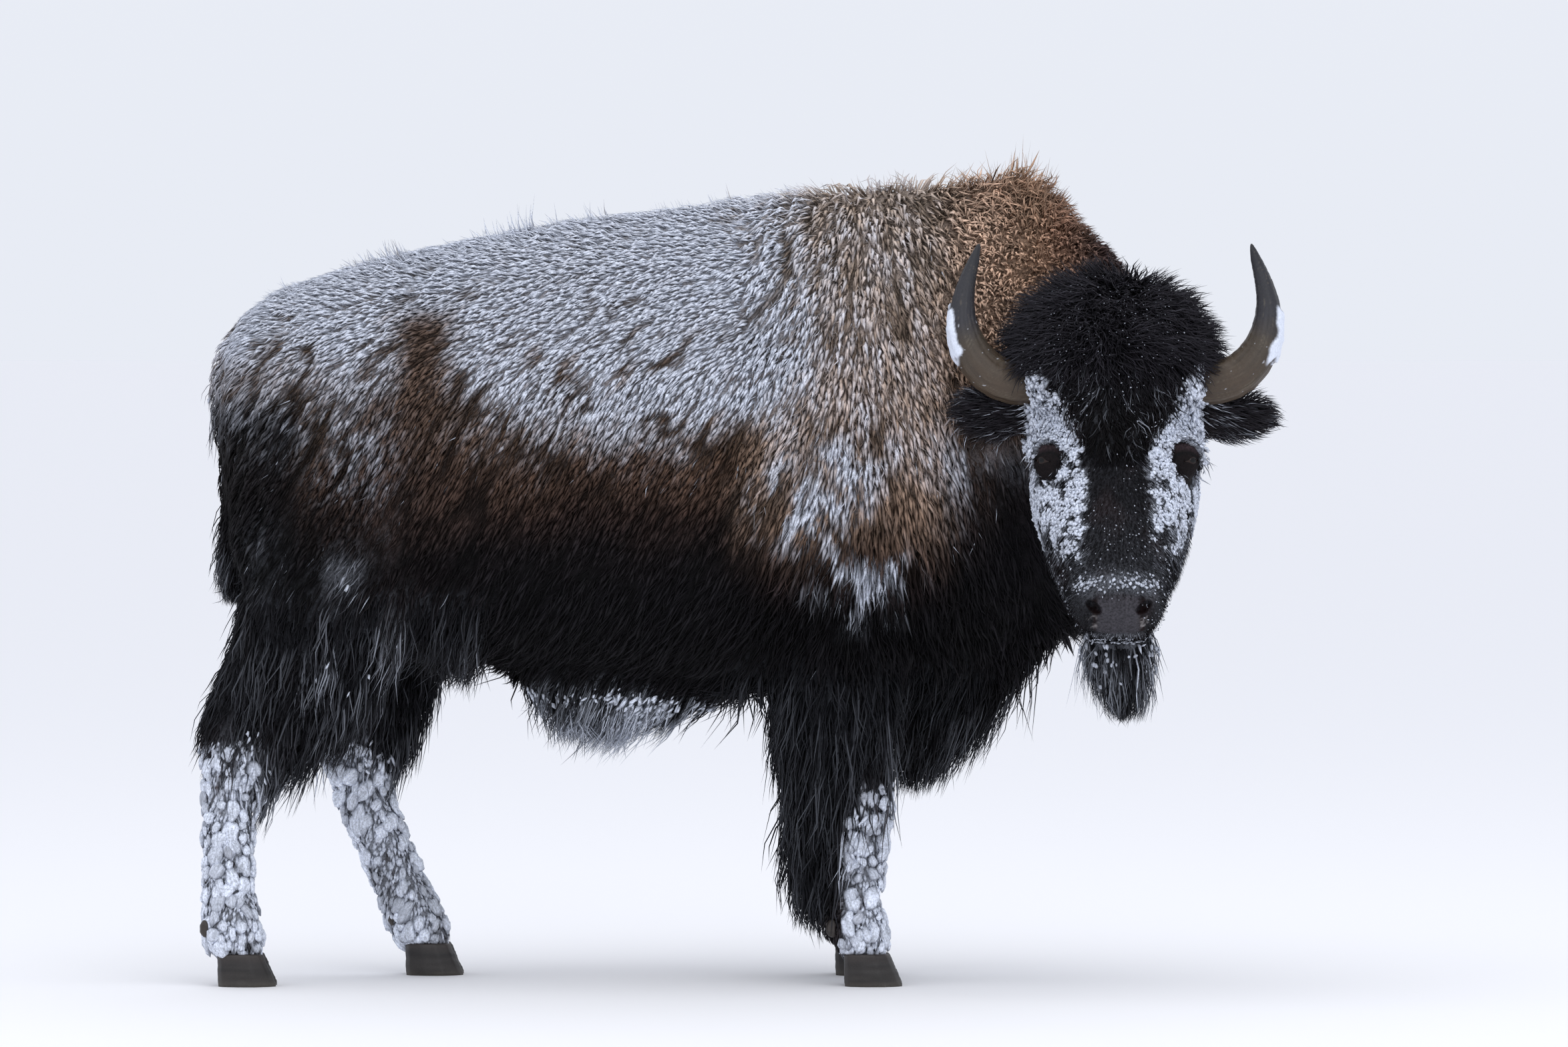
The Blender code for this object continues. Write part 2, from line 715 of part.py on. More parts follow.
def finish(made):
    """Names, paints and gathers the parts, with the origin under the middle of their box."""
    paints = {
        "brown_coat": coat("brown_coat", (0.060, 0.032, 0.018)),
        "tan_coat": coat("tan_coat", (0.235, 0.140, 0.078)),
        "black_coat": coat("black_coat", (0.012, 0.010, 0.010)),
        "horn": coat("horn", (0.060, 0.052, 0.040), 0.45),
        "eye": coat("eye", (0.010, 0.007, 0.005), 0.08),
        "hoof": coat("hoof", (0.018, 0.015, 0.013), 0.5),
    }
    corners = [v.co for obj in made.values() for v in obj.data.vertices]
    low = Vector(min(c[i] for c in corners) for i in range(3))
    high = Vector(max(c[i] for c in corners) for i in range(3))
    shift = Matrix.Translation((-(low.x + high.x) / 2, -(low.y + high.y) / 2, -low.z))
    herd = bpy.data.collections.new("bison")
    bpy.context.scene.collection.children.link(herd)
    for name, obj in made.items():
        obj.name = name
        obj.data.name = name
        obj.data.transform(shift)
        kind = name.split("_")[0]
        if kind in ("horn", "eye"):
            paint(obj, paints[kind])
        elif kind in ("hoof", "dewclaw"):
            paint(obj, paints["hoof"])
        elif kind in ("shoulders", "neck"):
            paint(obj, paints["tan_coat"])
        elif kind in ("barrel", "hindquarters"):
            paint(obj, paints["brown_coat"])
        else:
            paint(obj, paints["black_coat"])
        for owner in list(obj.users_collection):
            owner.objects.unlink(obj)
        herd.objects.link(obj)


build()
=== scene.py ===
import math

import bpy
import numpy as np
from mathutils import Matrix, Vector
from mathutils.bvhtree import BVHTree
from mathutils.kdtree import KDTree


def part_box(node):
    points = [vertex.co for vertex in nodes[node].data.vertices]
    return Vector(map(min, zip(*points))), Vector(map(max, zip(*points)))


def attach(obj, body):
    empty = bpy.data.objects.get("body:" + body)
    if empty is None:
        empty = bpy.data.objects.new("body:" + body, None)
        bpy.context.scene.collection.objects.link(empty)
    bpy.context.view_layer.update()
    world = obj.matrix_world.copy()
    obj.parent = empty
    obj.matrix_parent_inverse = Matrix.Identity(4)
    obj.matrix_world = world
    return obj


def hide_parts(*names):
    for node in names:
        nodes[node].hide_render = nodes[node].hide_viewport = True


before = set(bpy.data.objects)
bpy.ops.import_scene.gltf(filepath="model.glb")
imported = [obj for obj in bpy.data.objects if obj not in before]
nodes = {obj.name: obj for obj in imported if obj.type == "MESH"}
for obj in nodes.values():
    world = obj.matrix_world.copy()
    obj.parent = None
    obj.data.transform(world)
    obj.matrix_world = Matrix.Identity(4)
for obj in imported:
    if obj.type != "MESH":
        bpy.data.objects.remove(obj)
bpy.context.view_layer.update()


chance = np.random.default_rng(7)
upward = np.array([0, 0, 1.0])


def boxMiddle(name):
    low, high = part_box(name)
    return (np.array(low) + np.array(high)) / 2


# small helpers

def linear(hexColour):
    parts = [int(hexColour[i:i + 2], 16) / 255 for i in (1, 3, 5)]
    return [p / 12.92 if p <= 0.04045 else ((p + 0.055) / 1.055) ** 2.4 for p in parts]


def unit(vectors):
    return vectors / np.maximum(np.linalg.norm(vectors, axis=-1, keepdims=True), 1e-9)


def ramp(value, start, end):
    t = np.clip((value - start) / (end - start), 0, 1)
    return t * t * (3 - 2 * t)


def bell(value, middle, width):
    return np.exp(-((value - middle) / width) ** 2)


def stops(value, table):
    # colour along a list of (place, hex), in linear light
    places = [row[0] for row in table]
    colours = np.array([linear(row[1]) for row in table])
    return np.stack([np.interp(value, places, colours[:, k]) for k in range(3)], axis=-1)


def mixColours(a, b, share):
    share = np.asarray(share)[..., None]
    return a * (1 - share) + b * share


def waver(points, size, seed=0):
    # smooth noise from -1 to 1 whose swells are about one size across
    p = points / size + 37.3 + seed * 11.7
    cell = np.floor(p).astype(np.int64)
    f = p - cell
    f = f * f * (3 - 2 * f)
    total = np.zeros(len(points))
    for corner in range(8):
        step = np.array([(corner >> k) & 1 for k in range(3)])
        c = cell + step
        h = (c[:, 0] * 73856093) ^ (c[:, 1] * 19349663) ^ (c[:, 2] * 83492791) ^ (seed * 2654435)
        h = ((h ^ (h >> 13)) * 1274126177) & 0x7FFFFFFF
        value = ((h ^ (h >> 15)) & 0xFFFF) / 32767.5 - 1
        total += value * np.prod(np.where(step, f, 1 - f), axis=1)
    return total


def grit(points, size, seed=0):
    return 0.62 * waver(points, size, seed) + 0.38 * waver(points, size * 0.45, seed + 5)


def deselect():
    if bpy.context.object and bpy.context.object.mode != "OBJECT":
        bpy.ops.object.mode_set(mode="OBJECT")
    bpy.ops.object.select_all(action="DESELECT")


def choose(obj):
    deselect()
    obj.select_set(True)
    bpy.context.view_layer.objects.active = obj
    return obj


def addObject(name, data):
    obj = bpy.data.objects.new(name, data)
    bpy.context.scene.collection.objects.link(obj)
    return obj


def editAll(obj, operator, **settings):
    # one edit-mode operator on the whole object
    choose(obj)
    bpy.ops.object.mode_set(mode="EDIT")
    bpy.ops.mesh.select_all(action="SELECT")
    operator(**settings)
    bpy.ops.object.mode_set(mode="OBJECT")


def copyNodes(names, newName):
    # a merged copy of CAD nodes, as one object
    deselect()
    copies = []
    for name in names:
        copy = addObject(newName, nodes[name].data.copy())
        copy.data.materials.clear()
        copy.select_set(True)
        copies.append(copy)
    bpy.context.view_layer.objects.active = copies[0]
    if len(copies) > 1:
        bpy.ops.object.join()
    obj = bpy.context.object
    editAll(obj, bpy.ops.mesh.remove_doubles, threshold=0.00005)
    return obj


def applyModifier(obj, kind, **settings):
    choose(obj)
    modifier = obj.modifiers.new(kind.lower(), kind)
    for key, value in settings.items():
        setattr(modifier, key, value)
    bpy.ops.object.modifier_apply(modifier=modifier.name)


def readVerts(mesh, normals=False):
    out = np.empty(len(mesh.vertices) * 3, np.float32)
    if normals:
        mesh.vertex_normals.foreach_get("vector", out)
    else:
        mesh.vertices.foreach_get("co", out)
    return out.reshape(-1, 3).astype(float)


def writeVerts(mesh, places):
    mesh.vertices.foreach_set("co", places.astype(np.float32).ravel())
    mesh.update()


def readEdges(mesh):
    out = np.empty(len(mesh.edges) * 2, np.int32)
    mesh.edges.foreach_get("vertices", out)
    return out.reshape(-1, 2)


def spread(values, edges, turns):
    # each value drifts to the mean of its neighbours
    a, b = edges[:, 0], edges[:, 1]
    flat = values.reshape(len(values), -1)
    count = np.maximum(np.bincount(a, minlength=len(flat)) + np.bincount(b, minlength=len(flat)), 1)
    for _ in range(turns):
        total = np.stack([
            np.bincount(a, flat[b, k], len(flat)) + np.bincount(b, flat[a, k], len(flat))
            for k in range(flat.shape[1])], axis=1)
        flat = 0.4 * flat + 0.6 * total / count[:, None]
    return flat.reshape(values.shape)


def readTriangles(mesh):
    mesh.calc_loop_triangles()
    out = np.empty(len(mesh.loop_triangles) * 3, np.int32)
    mesh.loop_triangles.foreach_get("vertices", out)
    return out.reshape(-1, 3)


def meshFromArrays(name, places, triangles):
    mesh = bpy.data.meshes.new(name)
    mesh.vertices.add(len(places))
    mesh.vertices.foreach_set("co", places.astype(np.float32).ravel())
    mesh.loops.add(triangles.size)
    mesh.loops.foreach_set("vertex_index", triangles.astype(np.int32).ravel())
    mesh.polygons.add(len(triangles))
    mesh.polygons.foreach_set("loop_start", np.arange(0, triangles.size, 3, dtype=np.int32))
    mesh.update(calc_edges=True)
    mesh.shade_smooth()
    return addObject(name, mesh)


def paintVerts(obj, name, colours):
    if colours.shape[1] == 3:
        colours = np.column_stack([colours, np.ones(len(colours))])
    layer = obj.data.color_attributes.new(name, "FLOAT_COLOR", "POINT")
    layer.data.foreach_set("color", colours.astype(np.float32).ravel())


def valueVerts(obj, name, values):
    layer = obj.data.attributes.new(name, "FLOAT", "POINT")
    layer.data.foreach_set("value", values.astype(np.float32))


def stage(text):
    print("stage:", text, flush=True)


# the head's own axes: side, down the face, out of the forehead

head = {"drop": math.radians(62), "eyeDown": 0.187, "eyeIn": -0.012}
headSide = np.array([1.0, 0, 0])
headDown = np.array([0, -math.cos(head["drop"]), -math.sin(head["drop"])])
headOut = np.array([0, -math.sin(head["drop"]), math.cos(head["drop"])])
eyeCentres = {side: boxMiddle(name) for side, name in ((-1, "eye_right"), (1, "eye_left"))}
eyeRadius = (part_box("eye_left")[1][0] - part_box("eye_left")[0][0]) / 2
headTop = (eyeCentres[-1] + eyeCentres[1]) / 2 - headDown * head["eyeDown"] - headOut * head["eyeIn"]


def inHead(points):
    rel = points - headTop
    return rel @ headSide, rel @ headDown, rel @ headOut


def fromHead(side, down, out):
    return headTop + headSide * side + headDown * down + headOut * out


# one skin in place of the flesh and of the cores of the long hair

regions = {
    # nodes, and how deep the coat is there in metres
    "rear": (["hindquarters", "barrel"], 0.020),
    "cape": (["shoulders", "neck"], 0.030),
    "face": (["head"], 0.009),
    "ear": (["ear_left", "ear_right"], 0.012),
    "mop": (["crown_hair"], 0.040),
    "beard": (["beard"], 0.030),
    "fringe": (["belly_hair", "brisket_hair"], 0.036),
    "foreHair": (["fore_hair_left", "fore_hair_right"], 0.034),
    "hindHair": (["hind_hair_left", "hind_hair_right"], 0.030),
    "shank": (["foreleg_left", "foreleg_right", "hind_leg_left", "hind_leg_right"], 0.010),
    "tail": (["tail"], 0.018),
}
regionNames = list(regions)
fleshNodes = [name for names, _ in regions.values() for name in names]


def buildRegionFinder():
    # the nearest CAD face tells the region
    verts, faces, owner = [], [], []
    for index, (names, _) in enumerate(regions.values()):
        for name in names:
            mesh = nodes[name].data
            start = len(verts)
            verts += [v.co.copy() for v in mesh.vertices]
            for polygon in mesh.polygons:
                faces.append([start + i for i in polygon.vertices])
                owner.append(index)
    return BVHTree.FromPolygons(verts, faces), np.array(owner)


cadTree, cadOwner = buildRegionFinder()


def regionWeights(places, edges, turns):
    found = np.array([cadOwner[cadTree.find_nearest(Vector(p))[2]] for p in places])
    weights = np.zeros((len(places), len(regions)))
    weights[np.arange(len(places)), found] = 1
    return spread(weights, edges, turns)


def moveShare(weights, giver, taker, amount):
    moved = share(weights, giver) * amount
    weights[:, regionNames.index(giver)] -= moved
    weights[:, regionNames.index(taker)] += moved


def coatWeights(places, edges, turns):
    # regions by the kind of hair: behind the jaw it is neck hair, above the knee long hair
    weights = regionWeights(places, edges, turns)
    side, down, out = inHead(places)
    x, z = places[:, 0], places[:, 2]
    moveShare(weights, "face", "cape", np.maximum(ramp(np.abs(side), 0.160, 0.178),
                                                     ramp(-out, 0.14, 0.19) * ramp(0.40 - down, 0, 0.05)))
    moveShare(weights, "shank", "hindHair", ramp(z, 0.46, 0.60) * (x < -0.3))
    moveShare(weights, "shank", "foreHair", ramp(z, 0.40, 0.52) * (x > -0.3))
    return weights


def share(weights, name):
    return weights[:, regionNames.index(name)]


def castOut(tree, places, ways, limit, start=0.0):
    # how far each ray goes before it meets the tree, or the limit
    out = np.full(len(places), limit)
    for i, (p, w) in enumerate(zip(places, ways)):
        hit = tree.ray_cast(Vector(p + w * start), Vector(w), limit)[3]
        if hit is not None:
            out[i] = hit + start
    return out


skinMaking = {
    # in metres: how far the solids swell to join, voxels of the outline and of the skin, and the ball that
    # closes the mop round each horn
    "swell": 0.0015, "outlineVoxel": 0.011, "skinVoxel": 0.0128, "hornBall": 0.062,
    "hornBase": (0.150, 0.0, -0.035),
}


def buildSkin():
    skin = copyNodes(fleshNodes, "hide")
    editAll(skin, bpy.ops.transform.shrink_fatten, value=skinMaking["swell"])
    # a ball closes the ragged edge of the mop round each horn
    for side in (-1, 1):
        outwards, down, out = skinMaking["hornBase"]
        bpy.ops.mesh.primitive_uv_sphere_add(segments=16, ring_count=10, radius=skinMaking["hornBall"],
                                             location=fromHead(side * outwards, down, out))
        skin.select_set(True)
        bpy.context.view_layer.objects.active = skin
        bpy.ops.object.join()
    applyModifier(skin, "REMESH", mode="VOXEL", voxel_size=skinMaking["outlineVoxel"])
    applyModifier(skin, "SMOOTH", factor=0.5, iterations=4)
    mesh = skin.data
    places, edges = readVerts(mesh), readEdges(mesh)
    outer = BVHTree.FromObject(skin, bpy.context.evaluated_depsgraph_get())
    normals = unit(spread(readVerts(mesh, True), edges, 3))
    weights = regionWeights(places, edges, 8)
    depth = weights @ np.array([d for _, d in regions.values()])
    depth -= 0.005 * bell(places[:, 2], 0.10, 0.10) * share(weights, "shank")
    inside = castOut(outer, places, -normals, 0.3, 0.003)
    depth = spread(np.minimum(depth, 0.30 * inside), edges, 5)
    writeVerts(mesh, places - normals * depth[:, None])
    applyModifier(skin, "REMESH", mode="VOXEL", voxel_size=skinMaking["skinVoxel"])
    applyModifier(skin, "SMOOTH", factor=0.5, iterations=5)
    return skin, outer


def refineFace(skin, test, cuts):
    # finer faces where the test says so, for the folds of the face
    choose(skin)
    mesh = skin.data
    middles = np.empty(len(mesh.polygons) * 3, np.float32)
    mesh.polygons.foreach_get("center", middles)
    mesh.polygons.foreach_set("select", test(middles.reshape(-1, 3).astype(float)))
    mesh.vertices.foreach_set("select", np.zeros(len(mesh.vertices), bool))
    mesh.edges.foreach_set("select", np.zeros(len(mesh.edges), bool))
    bpy.ops.object.mode_set(mode="EDIT")
    bpy.ops.mesh.select_mode(type="FACE")
    bpy.ops.mesh.subdivide(number_cuts=cuts)
    bpy.ops.mesh.vertices_smooth(factor=0.5, repeat=2 * cuts)
    bpy.ops.object.mode_set(mode="OBJECT")


def onFace(points):
    side, down, out = inHead(points)
    return (down > 0.10) & (down < 0.64) & (out > -0.17) & (np.abs(side) < 0.19)


def nearFeatures(points):
    side, down, out = inHead(points)
    eyes = np.min([np.linalg.norm(points - c, axis=1) for c in eyeCentres.values()], axis=0) < 0.046
    muzzle = (down > 0.46) & (down < 0.60) & (out > -0.13) & (np.abs(side) < 0.10)
    return eyes | muzzle


muzzle = {
    # the nostrils' middle, half length, half width, bend and depth; the mouth's height above the floor
    "nostril": (0.050, 0.507, -0.018), "long": 0.0155, "wide": 0.0095, "bend": 0.45, "deep": 0.020,
    "mouthHeight": 0.7185,
}


def nostrilShape(places, way):
    # 1 on the edge of the comma-shaped nostril, less inside it, and the way from its middle
    aside, down, out = muzzle["nostril"]
    rel = places - fromHead(way * aside, down, out)
    u, s = rel @ headSide * way, rel @ headDown
    return np.hypot(u / muzzle["long"], (s + muzzle["bend"] * u) / muzzle["wide"]), rel


def mouthLine(side):
    return muzzle["mouthHeight"] + 0.012 * ramp(np.abs(side), 0.03, 0.09)


eyeAxes = {}
for side in (-1, 1):
    axis = unit(np.array([side * 0.54, -0.84, 0.05]))
    # the slit lies nearly level, its outer corner a little higher
    slit = np.array([side * 0.84, 0.54, 0.08])
    slit = unit(slit - axis * (slit @ axis))
    eyeAxes[side] = (slit, np.cross(axis, slit) * side, axis)


def sculptFace(skin):
    mesh = skin.data
    places = readVerts(mesh)
    normals = readVerts(mesh, True)
    edges = readEdges(mesh)
    soft = unit(spread(normals, edges, 4))
    side, down, _ = inHead(places)
    across = np.abs(side)
    lift = np.zeros(len(places))
    # orbit: a brow above each eye, a hollow before it
    for way, centre in eyeCentres.items():
        rel = places - centre
        slit, brow, axis = eyeAxes[way]
        high = rel @ brow
        far = np.hypot(rel @ slit, high)
        near = (np.linalg.norm(rel, axis=1) < 0.07) & (rel @ axis > -0.03)
        lift += 0.006 * bell(far, 0.040, 0.014) * ramp(high, -0.005, 0.03) * near
        lift += 0.003 * bell(far, 0.038, 0.012) * ramp(-high, 0.0, 0.03) * near
        lift -= 0.004 * bell(np.linalg.norm(rel + slit * 0.052 + brow * 0.012, axis=1), 0, 0.022)
    front = ramp(soft @ headOut, -0.5, 0.2)
    # muzzle: flat pad, swollen nostril wings, lips
    wing = np.hypot((across - 0.066) / 0.016, (down - 0.500) / 0.022)
    lift += 0.007 * np.exp(-wing ** 2) * front
    pad = ramp(0.062 - across, 0, 0.008) * ramp(down, 0.484, 0.494) * ramp(places[:, 2], 0.728, 0.738)
    lift -= 0.0025 * pad
    lift += 0.003 * bell(down, 0.484, 0.010) * ramp(0.075 - across, 0, 0.02) * front
    lift -= 0.0022 * bell(side, 0, 0.004) * pad
    # mouth: a deep line with the lip swollen above it
    frontish = ramp(-soft[:, 1], 0.05, 0.5)
    lips = mouthLine(side)
    lipSide = ramp(0.115 - across, 0, 0.02) * (down > 0.42)
    lift -= 0.012 * bell(places[:, 2], lips, 0.0045) * frontish * lipSide
    lift += 0.004 * bell(places[:, 2], lips + 0.014, 0.008) * frontish * lipSide
    lift += 0.004 * bell(places[:, 2], lips - 0.013, 0.008) * frontish * lipSide
    lift -= 0.004 * bell(down, 0.455, 0.02) * ramp(across, 0.03, 0.07) * front
    places = places + soft * lift[:, None]
    # nostrils: comma-shaped pits, rounder inside, drawn up and out
    pits = np.zeros(len(places))
    for way in (-1, 1):
        shape, rel = nostrilShape(places, way)
        near = (np.linalg.norm(rel, axis=1) < 0.045) & (soft @ headOut > -0.4)
        pits = np.maximum(pits, ramp(1.15 - shape, 0, 0.55) * near)
    inward = unit(-headOut * 0.75 + headDown * -0.55)
    places += inward * (pits * muzzle["deep"])[:, None]
    # sockets: the skin goes in behind each eyeball
    for way, centre in eyeCentres.items():
        slit, brow, axis = eyeAxes[way]
        rel = places - centre
        along = rel @ axis
        flat = rel - along[:, None] * axis
        radius = np.linalg.norm(flat, axis=1)
        near = along > -0.03
        rim = eyeRadius * (0.42 + 0.15 * ramp(flat @ brow, -0.01, 0.02) - 0.25 * ramp(flat @ slit, 0, 0.02))
        wanted = np.where(radius < eyeRadius * 1.02, -0.3 * eyeRadius, rim)
        blend = ramp(0.046 - radius, 0, 0.020) * near
        places += axis * ((wanted - along) * blend)[:, None]
    writeVerts(mesh, places)
    return pits


skin, outerTree = buildSkin()
stage("skin %d faces" % len(skin.data.polygons))
refineFace(skin, onFace, 2)
refineFace(skin, nearFeatures, 1)
pits = sculptFace(skin)
stage("face %d faces" % len(skin.data.polygons))


# eyes and lids

lidShape = {
    # half the slit's length and height in eye radii, and how far its middle lies below the eye's
    "slitLong": 0.84, "slitHigh": 0.15, "low": 0.06, "around": 40,
    # from the lid's inner edge outwards: share of the way from slit to circle, height over the eyeball
    "rings": [(0.0, 0.94), (0.0, 1.03), (0.05, 1.065), (0.16, 1.075), (0.30, 1.09), (0.44, 1.10), (0.58, 1.13),
              (0.78, 1.18), (1.0, 1.25)],
    # round rings of the skirt that runs into the hide: radius, share of the hide's height
    "skirt": [(1.14, 0.25), (1.32, 0.60), (1.55, 0.88), (1.80, 1.0)],
}


def buildLids(side):
    slit, brow, axis = eyeAxes[side]
    mesh = skin.data
    hide = BVHTree.FromPolygons(readVerts(mesh).tolist(), readTriangles(mesh).tolist())
    verts, faces = [], []
    count = lidShape["around"]

    def place(px, py, height):
        verts.append(tuple(eyeCentres[side] + eyeRadius * (slit * px + brow * py + axis * height)))

    angles = [2 * math.pi * k / count for k in range(count)]
    for way, ball in lidShape["rings"]:
        for angle in angles:
            x, y = math.cos(angle), math.sin(angle)
            # corners of the slit are drawn to points
            px = lidShape["slitLong"] * x * (1 - way) + 1.0 * x * way
            py = (lidShape["slitHigh"] * y * (1 - 0.5 * x * x) - lidShape["low"]) * (1 - way) + 1.0 * y * way
            # the upper lid has two folds, the lower one bags a little
            fold = -0.030 * bell(way, 0.44, 0.10) * (y > 0) + 0.02 * bell(way, 0.72, 0.12) * (y > 0)
            fold += 0.02 * bell(way, 0.5, 0.15) * (y < 0)
            place(px, py, math.sqrt(max(ball * ball - px * px - py * py, 0.03)) + float(fold))
    for radius, hideShare in lidShape["skirt"]:
        for angle in angles:
            x, y = radius * math.cos(angle), radius * math.sin(angle)
            start = eyeCentres[side] + eyeRadius * (slit * x + brow * y + axis * 2.5)
            hit = hide.ray_cast(Vector(start), Vector(-axis), 4 * eyeRadius)[3]
            level = 2.5 - hit / eyeRadius if hit is not None else 0.4
            own = 0.74 - 0.55 * (radius - 1)
            place(x, y, own + (level - own) * hideShare + 0.02 - 0.09 * (radius > 1.7))
    for k in range(count):
        place(1.5 * math.cos(angles[k]), 1.5 * math.sin(angles[k]), -0.5)
    for k in range(count):
        place(0.86 * math.cos(angles[k]), 0.30 * math.sin(angles[k]), 0.35)
    rings = len(verts) // count
    for r in range(rings):
        for k in range(count):
            a, b = r * count + k, r * count + (k + 1) % count
            c, d = ((r + 1) % rings) * count + k, ((r + 1) % rings) * count + (k + 1) % count
            faces.append((a, b, d, c))
    mesh = bpy.data.meshes.new("lids")
    mesh.from_pydata(verts, [], faces)
    obj = addObject("lids", mesh)
    editAll(obj, bpy.ops.mesh.normals_make_consistent, inside=False)
    return obj


def buildEye(side):
    deselect()
    bpy.ops.mesh.primitive_uv_sphere_add(segments=48, ring_count=32, radius=eyeRadius * 0.985,
                                         location=(0, 0, 0))
    eye = bpy.context.object
    eye.name = "eyeball" + ("Left" if side > 0 else "Right")
    slit, brow, axis = eyeAxes[side]
    places = readVerts(eye.data)
    # the clear front stands a little proud of the ball
    dome = ramp(places[:, 2], eyeRadius * 0.62, eyeRadius)
    places[:, 2] += 0.0022 * dome
    valueVerts(eye, "pupil", np.hypot(places[:, 0] / 1.5, places[:, 1]) + 0.1 * (places[:, 2] < 0))
    turned = places[:, :1] * slit + places[:, 1:2] * brow + places[:, 2:] * axis
    if np.linalg.det(np.stack([slit, brow, axis])) < 0:
        editAll(eye, bpy.ops.mesh.flip_normals)
    writeVerts(eye.data, turned + eyeCentres[side])
    eye.data.shade_smooth()
    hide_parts("eye_left" if side > 0 else "eye_right")
    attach(eye, "root")
    return eye


eyes = [buildEye(side) for side in (-1, 1)]
lids = [buildLids(side) for side in (-1, 1)]
choose(skin)
for lid in lids:
    lid.select_set(True)
bpy.ops.object.join()
stage("eyes and lids")


# markings: one function gives colour and frost to skin and coat alike

tongue = [
    # half the width of the mop's tongue over the brow, by how far down the face
    (-0.03, 0.190), (0.0, 0.148), (0.045, 0.124), (0.087, 0.107), (0.13, 0.088), (0.172, 0.064), (0.20, 0.038),
    (0.228, 0.0),
]
furrows = {
    # ridge width and length in metres, and how steeply the locks lean, high and low on the flank
    "high": (0.019, 0.090, 35), "low": (0.024, 0.170, 61), "cape": (0.026, 0.150), "fleece": 0.018,
}
hairTones = {
    # by height above the floor
    "rear": [(0.80, "#19171b"), (0.88, "#1f1a1c"), (0.95, "#372925"), (1.04, "#5b4538"), (1.14, "#7c6350"),
             (1.25, "#8b7260"), (1.40, "#958071"), (1.52, "#9c8879")],
    "thighBand": [(0.86, "#211a1b"), (1.0, "#4b3a33"), (1.3, "#5f4c42")],
    "cape": [(0.76, "#121014"), (0.82, "#2a2020"), (0.88, "#5f4a3f"), (0.97, "#a98d79"), (1.10, "#c4a791"),
             (1.30, "#cdb29c"), (1.48, "#d2bba8"), (1.62, "#d8c0aa")],
    "nape": [(0.84, "#121014"), (0.92, "#251d1e"), (1.05, "#604c42"), (1.22, "#a08470"), (1.35, "#b3957b")],
    # by how far forward on the hump
    "humpFront": [(0.38, "#cdb09a"), (0.50, "#dab9a1"), (0.60, "#d2ac90"), (0.67, "#aa8570"),
                  (0.74, "#4f3d3b")],
    # by how far down the face; the mop is lighter at the crown and darker low in the V, painted light from
    # above and painted shade low in the V
    "mop": [(-0.10, "#36343a"), (-0.02, "#2b292f"), (0.05, "#1a181c"), (0.12, "#100e10")],
    "mopBrown": "#33282b", "thighBack": "#1a181d", "throat": "#18161b", "face": "#151317",
    "faceBrown": "#2e2122", "ear": "#2a272c", "beard": "#141418", "fringe": "#18171b", "foreHair": "#1b1c21",
    "hindHair": "#18181d", "hindBrown": "#2f2725", "shank": "#2a2629", "shankGrey": "#4b4446",
    "tail": "#19171b",
}
frostPatches = {
    # strength, then middle and width along the body, then middle and width up the body
    "flankGap": (0.25, -0.42, 0.12, 1.26, 0.10), "loin": (0.20, -0.05, 0.12, 1.30, 0.08),
    "thigh": (0.32, -0.77, 0.10, 1.06, 0.12), "stifle": (0.30, -0.80, 0.05, 0.84, 0.05),
    "tailHead": (0.20, -1.0, 0.08, 1.40, 0.10), "shoulder": (0.70, 0.16, 0.12, 1.03, 0.085),
    "elbow": (1.15, 0.25, 0.085, 0.83, 0.065), "ribs": (0.75, 0.09, 0.08, 0.96, 0.06),
    "neckEdge": (0.18, 0.44, 0.06, 1.0, 0.12),
}


def plain(colour, places):
    return np.array(linear(colour)) * np.ones_like(places)


def frostPatch(name, x, z):
    strength, middle, width, height, tall = frostPatches[name]
    return strength * bell(x, middle, width) * bell(z, height, tall)


def furrowAt(places):
    # 1 on the backs of the matted locks of the trunk, 0 in the creases between them
    x, y, z = places.T
    drift = 0.009 * waver(places, 0.045, 61) + 0.022 * waver(places, 0.12, 62)
    lines = []
    for name in ("high", "low"):
        wide, long, lean = furrows[name]
        c, s = math.cos(math.radians(lean)), math.sin(math.radians(lean))
        lines.append(np.stack([(z * c - x * s + drift) / wide, y / 0.05, (x * c + z * s) / long], 1))
    lower = ramp(1.34 - z, 0, 0.14)
    lean = 0.50 - 0.75 * ramp(x, 0.02, 0.42)
    wide, long = furrows["cape"]
    lines.append(np.stack([(x - lean * (z - 1.2) + 1.2 * drift) / wide, y / 0.06, z / long], 1))
    fleece = ramp(x + 0.03 * waver(places, 0.06, 60), 0.36, 0.48) * ramp(z, 1.10, 1.26)
    capeShare = ramp(x, -0.07, 0.07)
    depth = np.zeros(len(places))
    for size, strength, seed in ((1.0, 1.0, 63), (0.46, 0.55, 67)):
        level = waver(lines[0], size, seed) * (1 - lower) + waver(lines[1], size, seed + 1) * lower
        level = level * (1 - capeShare) + waver(lines[2], size, seed + 2) * capeShare
        level = level * (1 - fleece) + waver(places, furrows["fleece"] * size ** 0.6, seed + 3) * fleece
        broken = ramp(waver(places, 0.07 * size, seed + 9), -0.75, 0.15)
        depth = np.maximum(depth, strength * broken * bell(level, 0, 0.20))
    depth = depth * (1 - 0.35 * ramp(z, 1.32, 1.44) * (1 - capeShare))
    return 1 - depth


